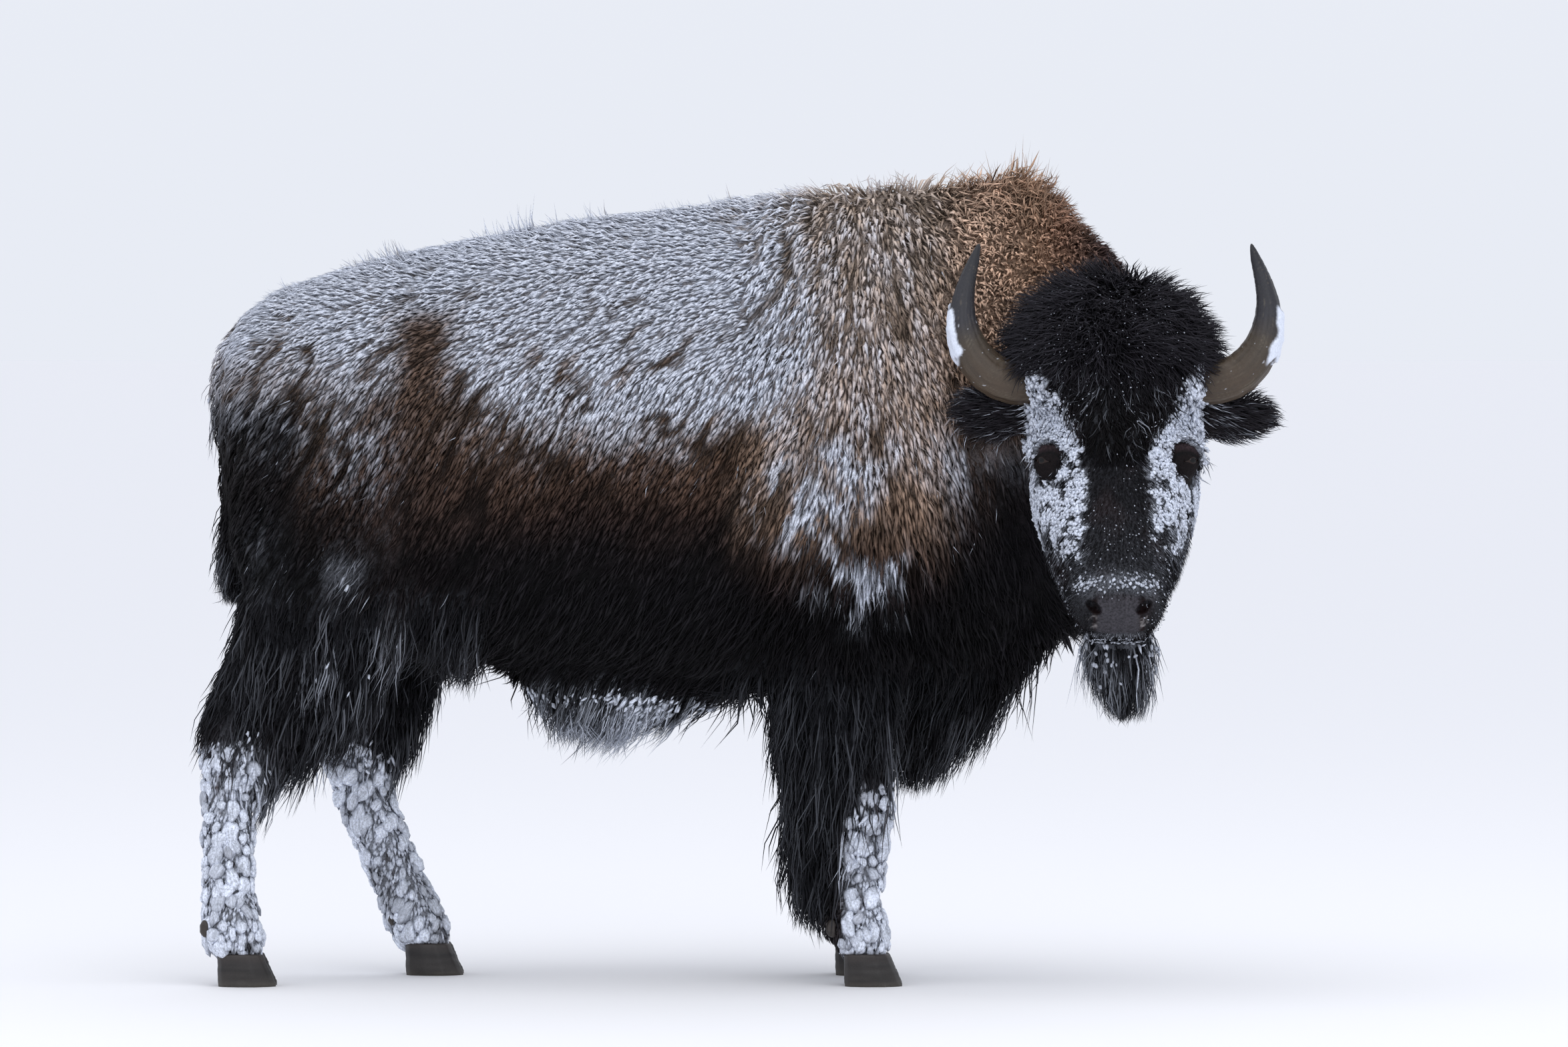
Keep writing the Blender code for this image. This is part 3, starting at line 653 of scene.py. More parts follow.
def coatNoise(places):
    # what colour and frost share: noises, a height with a ragged edge, and the dark band before the thigh
    x, y, z = places.T
    slanted = np.stack([(x * 0.66 - z * 0.75) / 0.26, y, (x * 0.75 + z * 0.66)], 1)
    upright = np.stack([x / 0.24, y / 0.4, z + 0.25 * x], 1)
    noise = {
        "big": grit(places, 0.16, 1), "mid": grit(places, 0.055, 2), "small": grit(places, 0.018, 6),
        # streaks along the lie of the coat: slanting on the flank, upright on the shoulder
        "slanted": grit(slanted, 0.085, 46), "upright": grit(upright, 0.085, 47),
        "blotch": ramp(grit(np.stack([x * 1.25, y, z * 0.85], 1), 0.044, 48), -0.10, 0.06),
        "mottle": ramp(grit(places, 0.011, 54), -0.50, 0.06),
        "furrow": furrowAt(places),
    }
    noise["height"] = z + 0.03 * noise["big"] + 0.012 * noise["mid"]
    noise["band"] = bell(x + 0.02 * noise["mid"], -0.640 - 0.10 * (1.3 - z),
                         0.085 + 0.05 * ramp(1.28 - z, 0, 0.15))
    return noise


def trunkColour(places, noise):
    x, z = places[:, 0], places[:, 2]
    height, mid, small = noise["height"], noise["mid"], noise["small"]
    rear = stops(height, hairTones["rear"])
    thighBack = ramp(-x + 0.03 * mid, 0.84, 0.93) * ramp(1.24 - height, 0, 0.10)
    rear = mixColours(rear, linear(hairTones["thighBack"]), 0.92 * thighBack)
    seat = ramp(-x, 0.60, 0.75) * ramp(1.30 - height, 0, 0.15)
    rear = mixColours(rear, rear * 0.55, seat)
    rear = mixColours(rear, stops(height, hairTones["thighBand"]), 0.75 * noise["band"])
    rear = rear * (1 + 0.22 * noise["slanted"] + 0.12 * small)[:, None]
    cape = stops(height, hairTones["cape"])
    forward = ramp(x, 0.34, 0.50) * ramp(z, 1.16, 1.28)
    cape = mixColours(cape, stops(x + 0.02 * mid, hairTones["humpFront"]), forward)
    nape = ramp(x, 0.36, 0.47) * ramp(1.36 - height, 0, 0.16)
    cape = mixColours(cape, stops(height, hairTones["nape"]), nape)
    # wool is patchy: tan clumps among browner ones; round the snow the wool between the blotches is darkened,
    # painted shade in the creases
    cape = cape * (1.06 + 0.30 * noise["upright"] + 0.14 * mid + 0.08 * small)[:, None]
    snowy = bell(x, 0.22, 0.17) * bell(height, 0.97, 0.17)
    cape = cape * (1 - 0.42 * snowy * (1 - noise["blotch"]))[:, None]
    throat = ramp(x + 0.02 * mid, 0.44, 0.56) * ramp(1.16 - z, 0, 0.12)
    cape = mixColours(cape, linear(hairTones["throat"]), 0.9 * throat)
    edge = 0.02 + 0.06 * bell(z, 1.28, 0.14) - 0.07 * ramp(z, 1.42, 1.58)
    capeShare = ramp(x + 0.02 * mid, edge - 0.06, edge + 0.06)
    # the creases between matted locks are darkened: painted shade
    return mixColours(rear, cape, capeShare) * (0.26 + 0.74 * noise["furrow"])[:, None]


def hairColours(places, noise):
    # the colour of each region's hair
    _, down, _ = inHead(places)
    mid, small, z = noise["mid"], noise["small"], places[:, 2]
    hair = {name: plain(hairTones[name], places)
            for name in ("face", "ear", "beard", "fringe", "foreHair", "hindHair", "shank", "tail")}
    hair["rear"] = hair["cape"] = trunkColour(places, noise)
    hair["face"] = mixColours(hair["face"], linear(hairTones["faceBrown"]), 0.7 * ramp(mid, 0.0, 0.8))
    hair["mop"] = mixColours(stops(down, hairTones["mop"]), linear(hairTones["mopBrown"]),
                             0.45 * ramp(mid, 0.1, 0.8) * ramp(down, 0.03, 0.14))
    hair["hindHair"] = mixColours(hair["hindHair"], linear(hairTones["hindBrown"]),
                                  0.5 * ramp(mid, 0.1, 0.8) * ramp(z, 0.6, 0.8))
    hair["shank"] = mixColours(hair["shank"], linear(hairTones["shankGrey"]), ramp(small, -0.1, 0.5))
    return hair


def trunkFrost(places, noise):
    x, z = places[:, 0], places[:, 2]
    height, mid, blotch, slanted = noise["height"], noise["mid"], noise["blotch"], noise["slanted"]
    rump = ramp(-x, 0.62, 0.88)
    fold = 0.06 * bell(x, 0.02, 0.10) * ramp(1.2 - z, 0, 0.1)
    rear = ramp(height + 0.03 * noise["small"] + 0.05 * slanted - fold, 0.96, 1.30)
    rear = rear * (1 - 0.60 * rump * (1 - ramp(height, 1.20, 1.42)))
    rear *= 1 - 0.95 * noise["band"] * (1 - ramp(height, 1.32, 1.46))
    rear *= 1 - frostPatch("flankGap", x, z)
    rear += frostPatch("loin", x, z)
    # browner mottling, slanting with the hair and fading towards the back
    rear *= 1 - (0.68 - 0.40 * ramp(height, 1.26, 1.44)) * ramp(slanted + 0.5 * mid, 0.0, 0.75)
    rear += frostPatch("thigh", x, height) * (0.22 + 0.75 * ramp(grit(places, 0.014, 55), -0.3, 0.3))
    rear += frostPatch("stifle", x, height) + frostPatch("tailHead", x, height)
    rear += 0.15 * bell(x, -0.97, 0.05) * ramp(1.0 - z, 0, 0.1)
    capeBand = ramp(height - 0.05 * ramp(x, 0.26, 0.32), 0.92, 1.04)
    cape = 0.27 * capeBand * (1 + 0.6 * bell(x, 0.08, 0.08) * ramp(z, 1.1, 1.3))
    cape = cape * (1 - 0.25 * ramp(x, 0.30, 0.42))
    cape *= 1 + 0.9 * noise["upright"]
    cape += blotch * (frostPatch("shoulder", x, height) + frostPatch("elbow", x, z + 0.02 * mid))
    cape += blotch * frostPatch("ribs", x, z) + frostPatch("neckEdge", x, z)
    cape *= 1 - 0.90 * ramp(x, 0.36, 0.50) * ramp(z, 1.12, 1.25)
    edge = 0.075 + 0.05 * bell(z, 1.3, 0.15) - 0.02 * ramp(z, 1.5, 1.6) - 0.05 * ramp(1.1 - z, 0, 0.1)
    frost = rear + (cape - rear) * ramp(x + 0.03 * mid, edge - 0.09, edge + 0.08)
    frost *= 1 - 0.9 * ramp(x, 0.50, 0.58) * ramp(z, 1.0, 1.2)
    return frost * (0.24 + 0.76 * ramp(noise["furrow"], 0.15, 0.75))


rime = {
    # how far from the middle of the face the cheek patches reach, by how far down the face
    "reach": [(0.10, 0.210), (0.22, 0.184), (0.29, 0.146), (0.36, 0.118), (0.42, 0.085)],
    # half the dark strip down the middle; the strength of the patches, of the bar over the nose and of the lip
    "strip": 0.058, "cheeks": 1.05, "overNose": 0.31, "lip": 0.30,
}


def headFrost(places, noise):
    # rime round the eyes, on the brows and down the cheeks; a dark strip down the middle
    side, down, out = inHead(places)
    across, z = np.abs(side), places[:, 2]
    mid, small, mottle = noise["mid"], noise["small"], noise["mottle"]
    strip = rime["strip"] + 0.014 * mid + 0.008 * small
    limit = np.interp(down, *zip(*rime["reach"])) + 0.016 * mid
    patch = ramp(across, strip - 0.004, strip + 0.016) * (1 - ramp(across, limit - 0.012, limit + 0.012))
    patch *= 1 - ramp(down + 0.034 * mid + 0.026 * small, 0.335, 0.420)
    clumps = grit(places, 0.021, 41) + 0.30 * ramp(0.20 - down, 0, 0.08) - 0.30 * ramp(down, 0.29, 0.40)
    eyeFar = np.min([eyeDistance(places, s) for s in (-1, 1)], axis=0)
    face = rime["cheeks"] * patch * ramp(clumps, -0.36, -0.08) * (0.38 + 0.62 * mottle)
    face = face * ramp(eyeFar, 0.92, 1.10)
    face += rime["overNose"] * bell(down, 0.464, 0.022) * ramp(0.085 - across, 0, 0.02) * (out > -0.06)
    muzzle = ramp(down, 0.26, 0.36) * (1 - ramp(down, 0.46, 0.52))
    face += (0.03 + 0.09 * ramp(across, 0.050, 0.085)) * muzzle + 0.04
    face += rime["lip"] * bell(z, 0.725, 0.008) * (down > 0.45) * ramp(0.07 - across, 0, 0.02)
    half = np.interp(down, *zip(*tongue))
    outside = ramp(across + 0.010 * mid + 0.008 * small, half - 0.006, half + 0.014) * ramp(down, -0.035, 0.0)
    outside *= ramp(eyeFar, 0.96, 1.08)
    mop = 0.02 + 0.08 * ramp(down, -0.02, 0.06) * (1 - ramp(down, 0.15, 0.2))
    mop += 0.85 * outside * (0.20 + 0.80 * mottle) * ramp(down, -0.025, 0.02)
    beard = 0.23 * ramp(z - 0.4 * (side + 0.02), 0.60, 0.68) * ramp(grit(places, 0.03, 44), -0.4, 0.4) + 0.07
    return {"face": face * ramp(out, -0.22, -0.14), "ear": 0.13 + 0 * z, "mop": mop, "beard": beard}


def legFrost(places, noise):
    # icy ends on the long hair, and a cracked crust on the shanks
    x, y, z = places.T
    mid = noise["mid"]
    belly = ramp(0.655 - z + 0.03 * mid, 0, 0.07) * (x < 0.1)
    knee = bell(z, 0.68, 0.10) * ramp(mid, 0, 0.4) * ramp(x, -0.90, -0.82)
    plates = np.stack([x, y, z * 0.55], 1)
    cracks = ramp(np.abs(waver(plates, 0.026, 45)) + 0.5 * np.abs(waver(plates, 0.012, 49)), 0.06, 0.26)
    crust = 0.10 + 0.90 * cracks * (0.45 + 0.55 * ramp(grit(places, 0.06, 50), -0.35, 0.05))
    hind = 1.0 * ramp(0.55 - z + 0.03 * mid, 0, 0.12)
    fore = 0.98 * ramp(0.44 - z, 0, 0.08) * ramp(x, 0.20, 0.24)
    return {
        "fringe": 0.07 + 0.75 * belly * ramp(grit(places, 0.05, 43), -0.5, 0.3),
        "foreHair": 0.055 + 0.07 * ramp(0.62 - z, 0, 0.15) * (x > 0.24),
        "hindHair": 0.06 + 0.16 * knee + 0.10 * ramp(0.54 - z, 0, 0.08),
        "shank": crust * np.where(x < -0.3, hind, fore),
        "tail": 0.12 + 0 * z,
    }


def describe(places, weights):
    # colour of the hair without frost, and how much frost lies on it, 0 to 1
    noise = coatNoise(places)
    hair = hairColours(places, noise)
    trunk = trunkFrost(places, noise)
    frostOf = {"rear": trunk, "cape": trunk, **headFrost(places, noise), **legFrost(places, noise)}
    base = sum(hair[name] * share(weights, name)[:, None] for name in regionNames)
    frost = sum(frostOf[name] * share(weights, name) for name in regionNames)
    uneven = np.clip(frost * 2, 0, 1) * (1 - 0.7 * share(weights, "face") - 0.7 * share(weights, "mop"))
    frost = frost + (0.10 * noise["big"] + 0.09 * noise["mid"] + 0.05 * noise["small"]) * uneven
    return base, np.clip(frost, 0, 1)


eyeBare = {
    # the bare dark lids, an upright oval as seen from in front: shift, half width and half height in metres
    "shift": (0.003, -0.002), "half": (0.028, 0.037), "ragged": ((0.18, 0.014, 71), (0.12, 0.006, 72)),
}


def eyeDistance(places, side):
    # 1 on the ragged edge of the bare lids, less inside it
    rel = places - eyeCentres[side]
    across, along, deep = rel @ headSide * side, rel @ headDown, rel @ headOut
    far = np.sqrt(((across + eyeBare["shift"][0]) / eyeBare["half"][0]) ** 2
                  + ((along + eyeBare["shift"][1]) / eyeBare["half"][1]) ** 2
                  + (np.minimum(deep + 0.03, 0) / 0.05) ** 2)
    for strength, size, seed in eyeBare["ragged"]:
        far = far + strength * waver(places, size, seed)
    return far


frostColour = np.array(linear("#dfe5f2"))


def padShare(places):
    # 1 on the bare wet nose and inside the lips
    side, down, out = inHead(places)
    across = np.abs(side)
    edge = 0.004 * waver(places, 0.009, 3)
    pad = ramp(0.056 - across + edge - 0.10 * np.maximum(down - 0.51, 0), 0, 0.006)
    pad *= ramp(down + edge, 0.486, 0.496)
    pad *= ramp(places[:, 2], 0.726, 0.732) * (out > -0.075)
    return np.clip(pad, 0, 1)


bareTones = {
    # bare skin, from the first colour laid on to the last; the crease and mouth colours are painted shade, the
    # nostril colour is the pits' own reddish skin with painted shade, and the lid colour is a painted highlight
    # on the upper lid
    "pad": "#3c3a3f", "palePad": "#545156", "wing": "#1a1112", "drip": "#b9b4b4", "nostril": "#1d1112",
    "mouth": "#0d0c0e", "eyeRing": "#120c0d", "lid": "#33272a", "creaseShade": "#080708",
}


def finishSkin():
    mesh = skin.data
    places, edges = readVerts(mesh), readEdges(mesh)
    weights = coatWeights(places, edges, 5)
    normals = unit(spread(readVerts(mesh, True), edges, 4))
    base, frost = describe(places, weights)
    pad = padShare(places)
    side, down, _ = inHead(places)
    # the nostrils' own dark reddish skin, with painted shade in the pits
    nostril = np.zeros(len(places))
    for way in (-1, 1):
        shape, rel = nostrilShape(places, way)
        nostril = np.maximum(nostril, ramp(1.2 - shape, 0, 0.5) * (np.abs(rel @ headOut) < 0.04))
    # a dark line along the mouth: painted shade in the groove between the lips
    mouth = bell(places[:, 2], mouthLine(side), 0.006)
    mouth *= (down > 0.42) * ramp(-normals[:, 1], 0, 0.4)
    lidDark = 1 - ramp(np.min([eyeDistance(places, s) for s in (-1, 1)], axis=0), 0.9, 1.15)
    wing = ramp(np.abs(side) + 0.003 * waver(places, 0.01, 9), 0.037, 0.047)
    drip = bell(np.abs(side), 0.050, 0.009) * ramp(down, 0.516, 0.522) * ramp(places[:, 2], 0.742, 0.750)
    # painted shade along the slit between the lids, and a painted highlight on the upper lid's fold
    creaseShade = np.zeros(len(places))
    lid = np.zeros(len(places))
    for way in (-1, 1):
        rel = places - eyeCentres[way]
        s = rel @ headDown
        creaseShade = np.maximum(creaseShade, bell(s - 0.012 * (rel @ headSide / 0.028) ** 2, -0.006, 0.0035) * lidDark)
        lid = np.maximum(lid, bell(s, -0.020, 0.010) * lidDark)
    layers = {
        "pad": pad, "palePad": pad * ramp(waver(places, 0.03, 4), 0.1, 0.9) * 0.4, "wing": pad * wing,
        "drip": drip * ramp(waver(places, 0.006, 8), -0.1, 0.6) * 0.4, "nostril": np.clip(nostril, 0, 1),
        "mouth": mouth * (1 - pad), "eyeRing": lidDark, "lid": 0.9 * lid, "creaseShade": creaseShade,
    }
    # between the locks the hide is in shadow
    colour = mixColours(base * 0.70, frostColour * 0.70, 0.6 * frost)
    for name, amount in layers.items():
        colour = mixColours(colour, linear(bareTones[name]), amount)
    paintVerts(skin, "coat", colour)
    valueVerts(skin, "bare", np.clip(pad * (1 - 0.85 * wing) + 0.20 * lidDark, 0, 1))
    return places, normals, weights, pad


skinPlaces, skinNormals, skinWeights, skinPad = finishSkin()
stage("markings")


# an unwrap of the skin's own shape, for the baked colours of the tufts

unwrapFaces = 3000


def buildUnwrap():
    flat = addObject("unwrap", skin.data.copy())
    applyModifier(flat, "DECIMATE", ratio=unwrapFaces / len(skin.data.polygons))
    editAll(flat, bpy.ops.uv.smart_project, angle_limit=math.radians(70), island_margin=0.002)
    mesh = flat.data
    uv = np.empty(len(mesh.loops) * 2, np.float32)
    mesh.uv_layers.active.data.foreach_get("uv", uv)
    uv = uv.reshape(-1, 2)
    triangles = readTriangles(mesh)
    loops = np.empty(len(mesh.loop_triangles) * 3, np.int32)
    mesh.loop_triangles.foreach_get("loops", loops)
    loops = loops.reshape(-1, 3)
    places = readVerts(mesh)
    tree = BVHTree.FromPolygons(places.tolist(), triangles.tolist())
    bpy.data.objects.remove(flat, do_unlink=True)
    return tree, places[triangles], uv[loops]


unwrapTree, unwrapCorners, unwrapUv = buildUnwrap()


def unwrapPlaces(points):
    found = np.empty(len(points), int)
    near = np.empty((len(points), 3))
    for i, p in enumerate(points):
        hit = unwrapTree.find_nearest(Vector(p))
        found[i] = hit[2]
        near[i] = hit[0]
    a, b, c = unwrapCorners[found].transpose(1, 0, 2)
    v0, v1, v2 = b - a, c - a, near - a
    d00, d01, d11 = (v0 * v0).sum(1), (v0 * v1).sum(1), (v1 * v1).sum(1)
    d20, d21 = (v2 * v0).sum(1), (v2 * v1).sum(1)
    under = np.maximum(d00 * d11 - d01 * d01, 1e-18)
    sb = np.clip((d11 * d20 - d01 * d21) / under, 0, 1)
    sc = np.clip((d00 * d21 - d01 * d20) / under, 0, 1)
    uv = unwrapUv[found]
    return uv[:, 0] * (1 - sb - sc)[:, None] + uv[:, 1] * sb[:, None] + uv[:, 2] * sc[:, None]


stage("unwrap")


# the coat: where each lock stands and how it lies

skinTriangles = readTriangles(skin.data)
triangleCorners = skinPlaces[skinTriangles]
triangleAreas = np.linalg.norm(np.cross(triangleCorners[:, 1] - triangleCorners[:, 0],
                                        triangleCorners[:, 2] - triangleCorners[:, 0]), axis=1) / 2


def areaOf(weights):
    return float((triangleAreas * weights[skinTriangles].mean(1)).sum())


def scatter(density, count):
    # roots spread evenly over the skin, as thickly as the density says
    mass = triangleAreas * density[skinTriangles].mean(1)
    total = np.cumsum(mass)
    marks = (np.arange(count) + chance.random(count)) / count * total[-1]
    chosen = np.minimum(np.searchsorted(total, marks), len(total) - 1)
    r1, r2 = np.sqrt(chance.random(count)), chance.random(count)
    cornerShare = np.stack([1 - r1, r1 * (1 - r2), r1 * r2], axis=1)[:, :, None]
    corner = skinTriangles[chosen]
    roots = (skinPlaces[corner] * cornerShare).sum(1)
    normals = unit((skinNormals[corner] * cornerShare).sum(1))
    weights = (skinWeights[corner] * cornerShare).sum(1)
    return roots, normals, weights


earWays = {-1: unit(np.array([-0.965, 0.16, 0.13])), 1: unit(np.array([0.965, 0.16, 0.05]))}


def flowAt(places, normals, weights):
    # the way the hair lies, before it is laid on the surface
    x, y, z = places.T
    side = inHead(places)[0]
    n = len(places)
    ways = np.zeros((n, 3))
    ones = np.ones(n)
    flank = ramp(1.34 - z, 0, 0.14)
    way = {
        "rear": np.stack([-(0.82 - 0.34 * flank), 0.2 * np.sign(y) * (1 - flank), -0.57 - 0.31 * flank], 1),
        "cape": np.stack([-(0.50 - 0.75 * ramp(x, 0.02, 0.42)), 0.15 * np.sign(y), -ones], 1),
        "face": headDown * ones[:, None]
        + headSide * (0.55 * np.sign(side) * ramp(np.abs(side), 0.0, 0.08))[:, None],
        "ear": np.where(x[:, None] > headTop[0], earWays[1], earWays[-1]) - 0.25 * upward,
        # the mop falls forward over the brow and is tousled all over
        "mop": headDown * ones[:, None] + headSide * (0.9 * side / 0.14)[:, None]
        + 1.25 * np.stack([grit(places, 0.055, seed) for seed in (14, 15, 16)], 1),
        "beard": np.stack([-3.2 * (side - 0.012) * ramp(0.72 - z, 0, 0.06) + 1.5 * side * ramp(z, 0.68, 0.76),
                           -0.05 * ones, -ones], 1),
        "fringe": np.stack([-0.30 * ones, 0 * ones, -ones], 1),
        "foreHair": np.stack([-0.10 * ones, 0 * ones, -ones], 1),
        "hindHair": np.stack([-0.18 * ones, 0 * ones, -ones], 1),
        "shank": np.stack([-0.12 * ones, 0 * ones, -ones], 1),
        "tail": np.stack([0 * ones, 0 * ones, -ones], 1),
    }
    for name in regionNames:
        ways += unit(way[name]) * share(weights, name)[:, None]
    trunk = share(weights, "rear") + share(weights, "cape") * (1 - ramp(x, 0.34, 0.46) * ramp(z, 1.1, 1.25))
    stir = np.stack([grit(places, 0.09, seed) for seed in (11, 12, 13)], 1)
    ways += (0.20 - 0.12 * trunk)[:, None] * stir
    flat = ways - normals * (ways * normals).sum(1)[:, None]
    # where the skin faces straight along the flow, the hair falls backwards
    weak = np.linalg.norm(flat, axis=1) < 0.15
    flat[weak] += (np.array([-0.4, 0, 0]) - normals[weak] * (-0.4 * normals[weak, 0])[:, None])
    return unit(flat)


def pointTree(points):
    tree = KDTree(len(points))
    for i, p in enumerate(points):
        tree.insert(Vector(p), i)
    tree.balance()
    return tree


def clusters(roots, flows, sides, normals, coat, long=0.55):
    # the lock each hair belongs to: offset to its middle, how far from its edge, and its number
    picks = max(int(len(roots) / coat["members"]), 4)
    centres = roots[chance.permutation(len(roots))[:picks]]
    # each middle moves once to the mean of its own hairs
    tree = pointTree(centres)
    owner = np.array([tree.find(Vector(p))[1] for p in roots])
    count = np.maximum(np.bincount(owner, minlength=len(centres)), 1)
    centres = np.stack([np.bincount(owner, roots[:, k], len(centres)) for k in range(3)], 1) / count[:, None]
    tree = pointTree(centres)
    near = 5
    indices = np.zeros((len(roots), near), int)
    for i, p in enumerate(roots):
        found = tree.find_n(Vector(p), near)
        indices[i] = [f[1] for f in found]
    rel = centres[indices] - roots[:, None]
    along = (rel * flows[:, None]).sum(2)
    beside = (rel * sides[:, None]).sum(2)
    over = (rel * normals[:, None]).sum(2)
    far = np.sqrt((along * long) ** 2 + beside ** 2 + over ** 2)
    order = np.argsort(far, axis=1)
    rows = np.arange(len(roots))
    first, second = order[:, 0], order[:, 1]
    d1, d2 = far[rows, first], far[rows, second]
    edge = (d2 - d1) / np.maximum(d1 + d2, 1e-6)
    return beside[rows, first][:, None] * sides, edge, indices[rows, first]


rootDepth = 0.004  # how far each lock starts below the hide, in metres


maxTriangles = 190000  # in one coat piece
tuftPatch = 0.003      # width of each tuft's patch of the OFBake map
streakScale = 20       # the strand map's length for a metre of lock


def joinTufts(name, roots, verts, colours, pattern, strandUv, local, step=0):
    # one mesh for each 190,000 triangles; OFBake gives each tuft a small patch where it stands on the skin
    n, each = verts.shape[:2]
    pieces = max(math.ceil(n / (maxTriangles // len(pattern))), 1)
    order = np.argsort(roots[:, 0], kind="stable") if pieces > 1 or step else np.arange(n)
    bakeUv = np.clip(unwrapPlaces(roots)[:, None] + tuftPatch * local, 0, 1)
    made = []
    for number in range(pieces):
        rows = order[n * number // pieces: n * (number + 1) // pieces]
        places = np.arange(len(rows))[:, None, None]
        tris = (places * each + pattern[None]).reshape(-1, 3)
        obj = meshFromArrays(name + (str(number + 1) if pieces > 1 else ""), verts[rows].reshape(-1, 3), tris)
        paintVerts(obj, "coat", colours[rows].reshape(-1, 4))
        for layer, uv in (("strand", strandUv[rows] + step * places), ("OFBake", bakeUv[rows])):
            uvLayer = obj.data.uv_layers.new(name=layer)
            uvLayer.data.foreach_set("uv", uv.reshape(-1, 2)[tris.ravel()].astype(np.float32).ravel())
        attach(obj, "root")
        made.append(obj)
    return made


def growLocks(name, roots, normals, weights, flows, spec, look):
    # closed three-sided tapering locks
    n = len(roots)
    segments = spec["segments"]
    sides = unit(np.cross(normals, flows))
    length, width, rise = spec["length"], spec["width"], spec["rise"]
    t = np.linspace(0, 1, segments + 1)[None, :, None]
    phase = chance.random(n)[:, None, None] * 2 * math.pi
    turns = spec.get("turns", 0.6)
    curl = (spec.get("curl", 0.0) * length)[:, None, None] if np.ndim(spec.get("curl", 0.0)) else \
        spec.get("curl", 0.0) * length[:, None, None]
    line = roots[:, None] - normals[:, None] * rootDepth
    line = line + flows[:, None] * length[:, None, None] * t
    stood = (rise[:, None, None] + rootDepth) * (1 - (1 - t) ** spec["bow"])
    stood = stood * (1 - spec.get("tuck", 0.0) * t ** 4)
    if "relief" in spec:
        # the coat sinks into the creases
        furrow = furrowAt((line + normals[:, None] * stood).reshape(-1, 3)).reshape(n, segments + 1, 1)
        stood = stood * (1 - spec["relief"] * (1 - furrow))
    line = line + normals[:, None] * stood
    if "lift" in spec:
        line = line + spec["lift"][:, None] * t ** 1.3
    line = line + sides[:, None] * curl * np.sin(2 * math.pi * turns * t + phase) * t ** 0.7
    line = line + normals[:, None] * 0.6 * curl * np.cos(2 * math.pi * turns * t + phase) * t
    if "gather" in spec:
        line = line + spec["gather"][:, None] * t ** 1.2
    tangent = np.empty_like(line)
    tangent[:, 1:-1] = line[:, 2:] - line[:, :-2]
    tangent[:, 0] = line[:, 1] - line[:, 0]
    tangent[:, -1] = line[:, -1] - line[:, -2]
    tangent = unit(tangent)
    twist = spec.get("twist", 0.0) * (chance.random(n)[:, None, None] - 0.5)
    over = unit(np.cross(tangent, np.broadcast_to(sides[:, None], tangent.shape)))
    across = np.cross(over, tangent)
    turned = across * np.cos(twist) + over * np.sin(twist)
    over = np.cross(tangent, turned)
    across = turned
    profile = np.array(spec.get("profile", [1.0, 0.92, 0.72, 0.5, 0.3]))
    if segments == 1:
        profile = np.array([1.0])
    else:
        profile = np.interp(np.linspace(0, 1, segments + 1)[:-1], np.linspace(0, 1, len(profile)), profile)
    angles = np.radians([90, 210, 330])
    flatness = spec.get("flat", 0.6)
    verts = np.empty((n, 3 * segments + 1, 3))
    for j, angle in enumerate(angles):
        around = across[:, :-1] * math.cos(angle) + over[:, :-1] * (math.sin(angle) * flatness)
        verts[:, j:3 * segments:3] = line[:, :-1] + around * (width[:, None] * 0.5 * profile)[:, :, None]
    verts[:, -1] = line[:, -1]
    pattern = [(0, 2, 1)]
    for k in range(segments - 1):
        for j in range(3):
            a, b = 3 * k + j, 3 * k + (j + 1) % 3
            pattern += [(a, b, b + 3), (a, b + 3, a + 3)]
    last = 3 * (segments - 1)
    pattern += [(last + j, last + (j + 1) % 3, 3 * segments) for j in range(3)]
    pattern = np.array(pattern)
    each = 3 * segments + 1  # points of one lock: three round each ring and the tip
    stations = np.repeat(np.linspace(0, 1, segments + 1), 3)[:each]
    stations[-1] = 1.0
    # colours and frost are those of the place each part of the lock has come to
    places = line.reshape(-1, 3)
    if look["frozen"]:
        places = np.repeat(roots, segments + 1, axis=0)
    base, frost = describe(places, np.repeat(weights, segments + 1, axis=0))
    base = base.reshape(n, segments + 1, 3) * look["toneAndGapShade"][:, None, None]
    frost = frost.reshape(n, segments + 1)
    tt = np.linspace(0, 1, segments + 1)[None, :]
    # each lock darkens towards its root: painted shade deep in the coat
    base = base * (0.74 + 0.30 * ramp(tt, 0.0, 0.65))[..., None]
    low, high = look["frostStep"]
    whiteness = ramp(frost + look["jitter"][:, None], low, high) * np.clip(frost * 4, 0, 1)
    whiteness = np.maximum(whiteness, 0.75 * look["speck"][:, None] * (frost > 0.02))
    whiteness = 0.95 * whiteness * look["heart"][:, None] * ramp(tt + 0.25 + 0.8 * frost, 0.25, 0.60)
    station = np.append(np.repeat(np.arange(segments), 3), segments)
    # the middle of a flat lock catches the frost; its edges get less frost and are darkened, painted shade
    # between neighbouring locks
    ridge = np.where(np.arange(each) % 3 == 0, 1.0, 1 - look.get("sideShade", 0.0))[None, :]
    ridge = np.where(stations == 1.0, 0.5 + 0.5 * ridge, ridge)
    whiteness = whiteness[:, station] * ridge
    colours = mixColours(base[:, station] * ridge[..., None], frostColour, whiteness)
    colours = np.concatenate([colours, whiteness[..., None]], axis=2)
    u = np.concatenate([np.tile([0.0, 0.5, 1.0], segments), [0.5]])
    within = np.stack([u, stations], 1)[None]
    shift = chance.random((n, 1, 2)) * 40
    strandUv = within * np.stack([np.ones(n), length], 1)[:, None] * [1, streakScale] + shift
    return joinTufts(name, roots, verts, colours, pattern, strandUv, within - 0.5)


